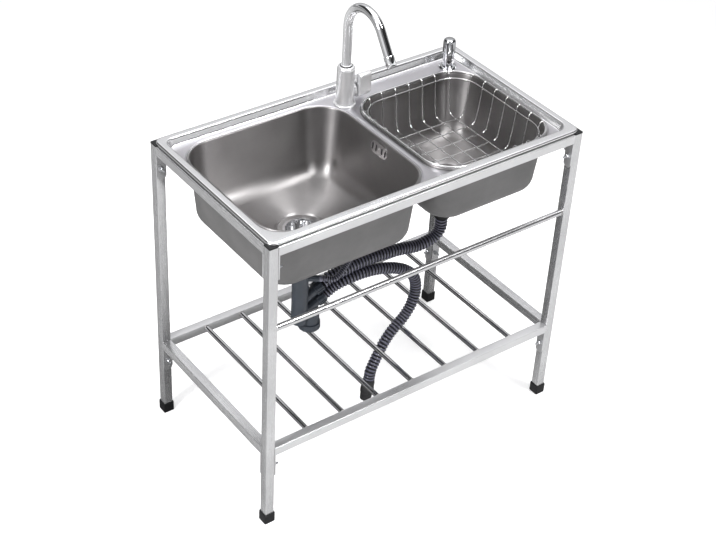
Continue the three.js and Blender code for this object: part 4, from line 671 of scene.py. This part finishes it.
# ---------------------------------------------------------------- shelf slats and towel rail
# Seven thin round tubes from the front shelf rail to the rear one, welded into both, and a
# thicker one between the front legs for a towel.
slat_steel = brushed("slat steel", (0.54, 0.54, 0.55), (0.70, 0.70, 0.71), 0.15,
                     (700, 14, 700), bump=0.03)
towel_steel = brushed("towel rail steel", (0.60, 0.60, 0.61), (0.76, 0.76, 0.77), 0.28,
                      (14, 700, 700), bump=0.01)
ROUND = [2 * pi * k / 32 for k in range(32)]
SLAT_RADIUS, SLAT_PITCH, SLAT_Z = 6, 97, 210
TOWEL_RADIUS, TOWEL_Z = 7, 541


def weld_ring(form, ring, thick, ripple):
    """A bead of weld metal round a tube's end."""
    form.swept(ring, [thick + 0.2 * sin(ripple * k) for k in range(len(ring))], 6, 1,
               looped=True)


for i in range(7):
    x = (i - 3) * SLAT_PITCH
    slat = Form().swept([(x, y, SLAT_Z) for y in (-207.8, -100, 0, 100, 207.8)], SLAT_RADIUS, 32)
    for end in (-1, 1):
        weld_ring(slat, [(x + 6.2 * cos(a), end * 207.3, SLAT_Z + 6.2 * sin(a))
                         for a in ROUND], 0.8, 3.1)
    slat.piece(f"round_shelf_slat_{i + 1}", [slat_steel, weld_metal], [f"shelf_slat_{i + 1}"],
               "tube_steel")
towel_rail = Form().swept([(x, -LEG_Y, TOWEL_Z) for x in (-387.8, -200, 0, 200, 387.8)],
                          TOWEL_RADIUS, 32)
for end in (-1, 1):
    weld_ring(towel_rail, [(end * 387.2, -LEG_Y + 7.2 * cos(a), TOWEL_Z + 7.2 * sin(a))
                           for a in ROUND], 0.9, 2.7)
towel_rail.piece("round_towel_rail", [towel_steel, weld_metal], ["towel_rail"], "tube_steel")

# ---------------------------------------------------------------- sink deck
# One pressed stainless sheet: a flat rim with a turned-down skirt, a step down all round and a
# sunk deck with two openings. It is brushed from left to right, and its underside is dull.
deck_steel = brushed("deck steel", (0.50, 0.49, 0.51), (0.60, 0.59, 0.62), 0.33,
                     (10, 700, 700), bump=0.05, Anisotropic=0.35)
rim_steel = brushed("rim steel", (0.90, 0.90, 0.91), (0.96, 0.96, 0.97), 0.22,
                    (60, 60, 900), bump=0.01, uneven=0.02)
underside_steel_and_painted_shade = brushed("sheet steel underside and painted shade", (0.20, 0.20, 0.20), (0.27, 0.27, 0.27), 0.5,
                      (40, 300, 300))
RIM = (-406, 406, -226, 226)
WELL = (-388.5, 388.5, -205, 208.5)
RIM_CORNER, WELL_CORNERS = 18, (55, 28, 20, 20)
LEFT = (-374, 20, -192, 180)
RIGHT = (51, 371, -192, 144)
BOWL_CORNER = 72
DECK_Z, SHEET = 743, 1.2
STEPS = 12
FLAT_HALF, FLAT_FRONT = 379.5, -196.1


def rim_ring(grow, z):
    return at_z(outline(*RIM, RIM_CORNER, grow, STEPS), z)


def well_ring(grow, z):
    return at_z(outline(*WELL, WELL_CORNERS, grow, STEPS), z)


def near_bowl(bowl, grow, z):
    """An outline around a bowl that keeps inside the deck's flat part."""
    return [(min(max(x, -FLAT_HALF), FLAT_HALF), max(y, FLAT_FRONT), z)
            for x, y in outline(*bowl, BOWL_CORNER, grow, STEPS)]


top_rings = [
    rim_ring(-1.2, 754.5), rim_ring(-0.2, 754.5), rim_ring(0, 754.9), rim_ring(0, 756.4),
    rim_ring(-0.35, 757.6), rim_ring(-1.2, 758.7), rim_ring(-2.5, 759.5), rim_ring(-4.2, 759.92),
    rim_ring(-6, 760), well_ring(4.2, 760), well_ring(2.6, 759.9), well_ring(1.2, 759.4),
    well_ring(0.3, 758.6), well_ring(-0.3, 757.4), well_ring(-1.2, 755), well_ring(-4.6, 746.3),
    well_ring(-5.1, 745.0), well_ring(-5.8, 744.0), well_ring(-6.8, 743.3),
    well_ring(-8.2, DECK_Z + 0.02),
]
under_rings = [
    well_ring(-8.2, DECK_Z - SHEET), well_ring(-4.4, 741.9), well_ring(0.2, 752),
    well_ring(1.3, 758.2), rim_ring(-5, 758.5), rim_ring(-2.2, 757.6), rim_ring(-1.2, 756),
]
deck = Form().rings(top_rings, 2, capped=False).rings(under_rings + [top_rings[0]], 1, capped=False)
# Around each bowl the flat part is pressed down a little, as a seat for the bowl's lip. The band
# that lies right under the lip takes the dark underside finish as painted shade, where the lip's
# shadow falls.
SEAT = ((11, DECK_Z + 0.02), (10.5, 742.85), (9.9, 742.4), (9.2, 741.85), (8.5, 741.6),
        (7.8, 741.5), (1.3, 741.5), (1.3, 740.3), (9.4, 740.3), (11, DECK_Z - SHEET))
PAINTED_SHADE_BAND = 5
seats = [[near_bowl(bowl, grow, z) for grow, z in SEAT] for bowl in (LEFT, RIGHT)]
for seat in seats:
    # The band under the lip gets the dark underside finish: painted shade.
    shade_band_start = len(deck.faces) + PAINTED_SHADE_BAND * len(seat[0])
    deck.rings(seat, 0, capped=False)
    deck.kinds[shade_band_start:shade_band_start + len(seat[0])] = [1] * len(seat[0])
for z, edge, which, kind in ((DECK_Z + 0.02, top_rings[-1], 0, 0),
                             (DECK_Z - SHEET, under_rings[0], -1, 1)):
    loops = [[Vector((x, y, z)) for x, y, _ in ring]
             for ring in (edge, seats[0][which], seats[1][which])]
    deck.add([p for loop in loops for p in loop], tessellate_polygon(loops), kind)
deck.piece("pressed_sink_deck", [deck_steel, underside_steel_and_painted_shade, rim_steel], ["sink_deck"],
           "sheet_steel", weld=0.01)

# ---------------------------------------------------------------- bowls
# Two deep-drawn bowls welded under the openings. Each has a rolled lip, sloping walls, a wide
# round foot and a floor that falls to the drain. The outside is a dull grey.
bowl_steel = brushed("bowl steel", (0.26, 0.251, 0.251), (0.37, 0.359, 0.359), 0.42,
                     (22, 22, 1300), bump=0.006, uneven=0.05, patch=3.0, Anisotropic=0.88,
                     Anisotropic_Rotation=0.25)
bowl_outside = brushed("bowl outside", (0.145, 0.143, 0.143), (0.19, 0.187, 0.187), 0.5,
                       (60, 60, 60), bump=0.12, patch=12.0, Metallic=0.3)
DRAFT, FOOT_RADIUS, FOOT_RISE = 12, 35, 5
FLOOR_INSET = DRAFT + FOOT_RADIUS
WALL_TOP, LIP_Z = 737, 741.6
DISH, HOLE = 61, 44.5
RING_POINTS = 4 * (STEPS + 1)


def bowl_piece(name, bowl, floor, drain, node_name):
    """A bowl's sheet: rings down the inside to the drain, then back up the outside."""
    foot_z = floor + FOOT_RISE + FOOT_RADIUS

    def layer(grow, z):
        return at_z(outline(*bowl, BOWL_CORNER, grow, STEPS), z)

    def drain_ring(radius, z):
        angles = [1.25 * pi + (i - STEPS / 2) / RING_POINTS * 2 * pi
                  for i in range(RING_POINTS)]
        return [(drain[0] + radius * cos(a), drain[1] + radius * sin(a), z)
                for a in angles]

    def middle(share, under):
        edge = layer(-FLOOR_INSET, floor + FOOT_RISE - under)
        hole = drain_ring(DISH, floor + 3 - under)
        return [Vector(p).lerp(Vector(q), share) for p, q in zip(edge, hole)]

    def foot(share, under):
        a, r = share * pi / 2, FOOT_RADIUS + under
        return layer(-(FLOOR_INSET - r * cos(a)), foot_z - r * sin(a))

    def wall(share):
        return layer(-DRAFT * share, WALL_TOP - (WALL_TOP - foot_z) * share)

    lip = [(4.9, LIP_Z), (4.9, 743.4), (4.5, 744.3), (3.7, 744.8), (2.7, 744.9), (1.7, 744.75),
           (0.8, 744.1), (0.3, 742.8), (0.05, 740)]
    shares = [k / 9 for k in range(1, 9)]
    inside = [
        *[layer(grow, z) for grow, z in lip], layer(0, WALL_TOP), wall(0.25), wall(0.5),
        layer(-DRAFT, foot_z), *[foot(s, 0) for s in shares],
        layer(-FLOOR_INSET, floor + FOOT_RISE), *[middle(s, 0) for s in (0.25, 0.5, 0.75)],
        drain_ring(DISH, floor + 3), drain_ring(59.5, floor + 2.6), drain_ring(58, floor + 0.6),
        drain_ring(56.5, floor), drain_ring(HOLE, floor),
    ]
    outside = [
        drain_ring(HOLE, floor - SHEET), drain_ring(58, floor - SHEET),
        drain_ring(60.5, floor + 1.4), *[middle(s, SHEET) for s in (0.75, 0.5, 0.25)],
        layer(-FLOOR_INSET, floor + 3.8), *[foot(s, SHEET) for s in reversed(shares)],
        layer(SHEET - DRAFT, foot_z), layer(SHEET, WALL_TOP), layer(SHEET, LIP_Z),
    ]
    form = Form().rings(inside + outside, looped=True)
    form.kinds = [0 if k // RING_POINTS < len(inside) - 1 else 1 for k in range(len(form.faces))]
    form.piece(name, [bowl_steel, bowl_outside], [node_name], "sheet_steel", crease=50)


bowl_piece("drawn_left_bowl", LEFT, 578, (-177, -6), "left_bowl")
bowl_piece("drawn_right_bowl", RIGHT, 588, (207, -21), "right_bowl")

# ---------------------------------------------------------------- strainers and drain cups
# Each bowl's drain is a spun steel cup pressed into the floor's hole. A bright strainer with
# slots drops into it and lifts out by its knob.
chrome = brushed("chrome", (0.84, 0.845, 0.86), (0.90, 0.905, 0.915), 0.09, (60, 60, 60),
                 bump=0.0, uneven=0.03, patch=40.0, Metallic=0.98)
drain_steel = brushed("spun drain steel", (0.46, 0.45, 0.45), (0.58, 0.57, 0.57), 0.24,
                      (90, 90, 90), bump=0.01)
keep(drain_steel, "left_drain_cup", "right_drain_cup")
keep(chrome, "left_strainer", "right_strainer")

# ---------------------------------------------------------------- overflow
# A slotted steel cover plate on the left bowl's wall, held by a cross-headed screw. A black rubber
# gasket lies behind it and also serves as painted shade, darkening its slots where the port behind
# would be dark, and a plastic elbow carries the water down.
cover_steel = brushed("overflow cover steel", (0.58, 0.565, 0.565), (0.68, 0.665, 0.665), 0.25,
                      (300, 12, 300), bump=0.01)
keep(cover_steel, "overflow_cover")
keep(slate_plastic, "overflow_elbow")
WALL_PORT = Matrix.Translation((18.29, -12, 720)) @ Matrix.Rotation(WALL_LEAN, 4, "Y")
SCREW_TURN = 0.3
# The black pad behind the slots is a gasket and also painted shade in the slots.
shade_gasket = Form()
pad = outline(-14, 14, -28, 28, 13.9, 0, 8)
shade_gasket.rings([[(x, y, -z) for z, y in pad] for x in (-0.75, 0.3)], 0, WALL_PORT)
screw_at = WALL_PORT @ Matrix.Rotation(-pi / 2, 4, "Y")
shade_gasket.turned([(0, 1.2), (3.5, 1.2), (3.5, 1.9), (3.1, 2.5), (2.2, 2.9), (0, 3.0)], 24, 1, screw_at)
for turned_by in (SCREW_TURN, SCREW_TURN + pi / 2):
    arm = screw_at @ Matrix.Rotation(turned_by, 4, "Z")
    shade_gasket.rings([[(x, y, z) for x, y in ((-2.3, -0.4), (2.3, -0.4), (2.3, 0.4), (-2.3, 0.4))]
                  for z in (2.3, 3.04)], 0, arm)
shade_gasket.piece("overflow_shade_gasket_and_screw", [black_rubber, zinc], slot="black_plastic")

# ---------------------------------------------------------------- mixer
# A chromed brass single-lever mixer: a round body on a base ring, clamped by a nut below the deck,
# a housing to the right for the mixing core, and a gooseneck of drawn tube that swivels and has
# an aerator in its mouth.
satin_chrome = brushed("satin chrome", (0.82, 0.82, 0.83), (0.88, 0.88, 0.89), 0.26,
                       (60, 60, 60), bump=0.0, uneven=0.01, patch=30.0, Metallic=0.64)
white_plastic = moulded("white plastic", (0.60, 0.60, 0.57), (0.72, 0.72, 0.69), 0.4, bump=0.05)
keep(slate_plastic, "faucet_nut")
keep(white_plastic, "mixing_core")
MIXER = Matrix.Translation((43.5, 156, DECK_Z))
HOUSING = MIXER @ Matrix.Translation((0, 0, 32))
z_to_x = Matrix.Rotation(pi / 2, 4, "Y")
Form().turned([
    (13.3, 0.4), (24.2, 0.4), (25, 1), (25, 2.2), (24.4, 3.2), (23.3, 3.9), (22.4, 4), (13.3, 4),
], 64, 0, MIXER).piece("turned_faucet_base", [satin_chrome], ["faucet_base"], "chrome")
body = Form()
body.turned([
    (0, -62), (12.6, -62), (13, -61.4), (13, 4.4), (20, 4.4), (20.5, 5), (20.5, 89), (20.3, 91),
    (19.6, 93.2), (18.4, 95), (17, 96.2), (15.4, 96.8), (14.2, 97), (12, 96.8), (11.2, 96.2),
    (10.9, 95), (10.9, 71.2), (0, 71.2),
], 64, 0, MIXER)
body.turned([
    (13.9, 5.8), (17.5, 5.8), (17.5, 20.6), (17.2, 21.4), (16.4, 21.9), (14.6, 22), (13.9, 21.6),
], 64, 0, HOUSING @ z_to_x)
body.piece("turned_faucet_body", [satin_chrome], ["faucet_body"], "chrome")

SPOUT_SWEEP, SPOUT_BEND, SPOUT_RISE, SPOUT_RADIUS = radians(146), 64, 196, 10.34
NECK_STEPS, MOUTH_DROP = 36, 51
neck = [(0, 0, z) for z in (72.5, 100, 130, 160, 190)]
neck += [(0, SPOUT_BEND * cos(a) - SPOUT_BEND, SPOUT_RISE + SPOUT_BEND * sin(a))
         for a in [SPOUT_SWEEP * k / NECK_STEPS for k in range(NECK_STEPS + 1)]]
mouth_way = Vector((0, -sin(SPOUT_SWEEP), cos(SPOUT_SWEEP)))
bottom = Vector(neck[-1])
neck += [bottom + mouth_way * d for d in (12, 25, 38, MOUTH_DROP)]
gooseneck = Form().swept(neck, SPOUT_RADIUS, 48, 0, MIXER)
# At its foot the spout turns in a black rubber ring under a thin bright one.
gooseneck.turned([(10.2, 99.4), (12.6, 99.4), (12.4, 99.9), (11.8, 100.3), (10.2, 100.4)],
                 48, 0, MIXER)
gooseneck.turned([(10.2, 97.1), (13.6, 97.1), (13.9, 97.5), (13.9, 99), (13.5, 99.4), (10.2, 99.4)],
                 48, 1, MIXER)
# The bend is polished to a mirror and the upright is left satin, with a soft change between.
spout_chrome = brushed("spout chrome", (0.84, 0.845, 0.86), (0.90, 0.905, 0.915), 0.09,
                       (60, 60, 60), bump=0.0, uneven=0.03, patch=40.0)
spout_tree = spout_chrome.node_tree
spout_place = node(spout_tree, "ShaderNodeTexCoord").outputs["Object"]
along_y = node(spout_tree, "ShaderNodeSeparateXYZ", [("Vector", spout_place)]).outputs["Y"]
spout_tree.links.new(ramp(spout_tree, along_y, 0.11, 0.15, 0.99, 0.6),
                     spout_tree.nodes["Principled BSDF"].inputs["Metallic"])
gooseneck.piece("bent_spout", [spout_chrome, black_rubber], ["spout"], "chrome", "spout")
mouth = MIXER @ facing(bottom + mouth_way * MOUTH_DROP, mouth_way)
black_mesh = moulded("aerator mesh", (0.02, 0.02, 0.02), (0.06, 0.06, 0.06), 0.5, scale=2500.0,
                     bump=0.6)
aerator = Form().turned([
    (8.4, 0.4), (10.6, 0.4), (11.3, 0.9), (11.6, 1.8), (11.6, 18.6), (11.2, 19.3), (10.8, 20),
    (10.8, 23.4), (10.4, 24), (9.4, 24), (9, 23.4), (8.6, 22), (8.4, 20),
], 48, 0, mouth)
aerator.turned([(0, 20.6), (8.4, 20.6), (8.4, 22), (5, 22.2), (0, 22.3)], 32, 1, mouth)
aerator.piece("turned_aerator", [chrome, black_mesh], ["aerator"], "chrome", "spout")

# ---------------------------------------------------------------- mixer lever
# A cast lever with a chrome coat: a round cap over the housing with a flat upright plate at its
# front edge. Its stem goes into the mixing core, which it tilts and turns.
CAP_RADIUS, PLATE, TALL = 20.5, 15, 41
CAP_STEPS, CAP_SWEEP = 40, 1.62 * pi
NEAR, FAR = -CAP_RADIUS, PLATE - CAP_RADIUS
shape = [(CAP_RADIUS * cos(a), CAP_RADIUS * sin(a))
         for a in [pi + CAP_SWEEP * k / CAP_STEPS for k in range(CAP_STEPS + 1)]]
shape += [
    (FAR + 0.3, CAP_RADIUS + 1.5), (FAR, CAP_RADIUS + 4), (FAR - 0.8, TALL - 3.6),
    (FAR - 1.4, TALL - 1.6), (FAR - 2.6, TALL - 0.4), (FAR - 4.2, TALL), (NEAR + 4, TALL),
    (NEAR + 2, TALL - 0.6), (NEAR + 0.6, TALL - 2), (NEAR, TALL - 4), (NEAR, TALL - 20), (NEAR, 6),
]


def inset(points, amount):
    """Moves each corner of a closed outline inwards along its bisector."""
    count, moved = len(points), []
    for i, (y, z) in enumerate(points):
        before, after = points[i - 1], points[(i + 1) % count]
        way = Vector((after[0] - before[0], after[1] - before[1])).normalized()
        moved.append((y - amount * way.y, z + amount * way.x))
    return moved


lever = Form().rings([
    [(x, y, z) for y, z in inset(shape, amount)]
    for x, amount in ((25.2, 1.7), (25.4, 0.9), (26, 0.3), (27, 0),
                      (55, 0), (56, 0.3), (56.7, 0.9), (57, 1.9))
], 0, HOUSING)
lever.turned([(0, 15), (3.5, 15), (3.5, 27), (0, 27)], 24, 0, HOUSING @ z_to_x)
lever.piece("cast_lever", [satin_chrome], ["lever"], "chrome", "lever")

# ---------------------------------------------------------------- soap pump
# A chromed pump in a collar that is clamped through the deck's rear corner. Its domed head presses
# down and turns on the plunger, and a white bottle is screwed on from below.
PUMP = Matrix.Translation((347, 167, DECK_Z))
pump_chrome = brushed("pump chrome", (0.46, 0.465, 0.48), (0.56, 0.565, 0.58), 0.06,
                      (60, 60, 60), bump=0.0, uneven=0.02, patch=40.0)
keep(chrome, "soap_plunger")
keep(white_plastic, "soap_bottle")
Form().turned([
    (6.5, -40), (11.6, -40), (12, -39.4), (12, 0.4), (20.4, 0.4), (21, 1), (21, 2), (20.2, 3.2),
    (18.4, 4.6), (17, 5), (13.4, 5.2), (12.6, 6), (12.4, 7.4), (12.4, 33), (12, 34), (4.4, 34),
    (4.4, 28), (6.5, 26),
], 48, 0, PUMP).piece("turned_soap_collar", [pump_chrome], ["soap_collar"], "chrome")
head = Form().turned([
    (13.2, 22), (14.2, 22), (14.6, 22.5), (14.6, 64.4), (14.2, 67.4), (13.2, 69.6), (11.6, 71.4),
    (9.4, 72.8), (6.6, 73.7), (3.4, 74), (0, 74), (0, 60.4),
], 48, 0, PUMP)
nozzle_turn = Matrix.Rotation(radians(-129), 4, "Z")
nozzle_line, _ = smooth_line(
    [(8, 0, 64), (18, 0, 64), (28, 0, 64), (37, 0, 61.8), (42, 0, 58), (44, 0, 53)], 1.6)
head.swept(nozzle_line, 4.6, 24, 0, PUMP @ nozzle_turn)
head.piece("domed_soap_head", [pump_chrome], ["soap_head"], "chrome", "pump_head")

# ---------------------------------------------------------------- wire basket
# A chromed wire basket that hangs in the right bowl: a thick rim wire on the bowl's lip, a thin
# one below it, and bent wires welded across in both directions.
wire_steel = brushed("basket wire", (0.66, 0.66, 0.66), (0.82, 0.82, 0.82), 0.14,
                     (300, 300, 300), bump=0.02)
BASKET = Matrix.Translation((211, -24, DECK_Z))
HALF_X, HALF_Y = 160, 168
RIM_WIRE, THIN_WIRE, BENT_WIRE = 2.5, 1.4, 1.5


def wire_loop(grow, z):
    return at_z(outline(-HALF_X, HALF_X, -HALF_Y, HALF_Y, BOWL_CORNER, grow, 10), z)


def half_span(long, wide, away):
    """Half the rim's width along one axis, at a distance from the middle along the other."""
    past = abs(away) - (wide - BOWL_CORNER)
    return long if past <= 0 else long - BOWL_CORNER + sqrt(BOWL_CORNER ** 2 - past ** 2)


def bent_wire(half, low):
    """A wire from the rim down, across the floor and up again, with round bends."""
    wall, foot = half - 7, half - 18.5
    stops = [(half + 2.6, 6.6), (half - 1, 7.0), (wall + 1.6, 5.2), (wall - 0.6, -1.5),
             (wall - 4, -32), (wall - 7.6, -62), (foot + 0.5, low + 17), (foot - 1.8, low + 7),
             (foot - 8, low + 1.4), (foot - 18, low), (foot - 40, low)]
    side = [(p.x, p.z) for p in smooth_line([(x, 0, z) for x, z in stops], 5.0)[0]]
    return side + [(-x, z) for x, z in reversed(side)]


basket = Form()
basket.swept(wire_loop(2.5, 4.7), RIM_WIRE, 14, 0, BASKET, looped=True)
basket.swept(wire_loop(-10.6, -6), THIN_WIRE, 10, 0, BASKET, looped=True)
for k in range(-3, 4):
    y = k * 40
    basket.swept([(x, y, z) for x, z in bent_wire(half_span(HALF_X, HALF_Y, y), -100)],
                 BENT_WIRE, 10, 0, BASKET)
for k in range(-3, 4):
    x = k * 38
    basket.swept([(x, y, z) for y, z in bent_wire(half_span(HALF_Y, HALF_X, x), -97.4)],
                 BENT_WIRE, 10, 0, BASKET)
basket.piece("bent_wire_basket", [wire_steel], ["wire_basket"], "wire_steel", "basket", crease=60)
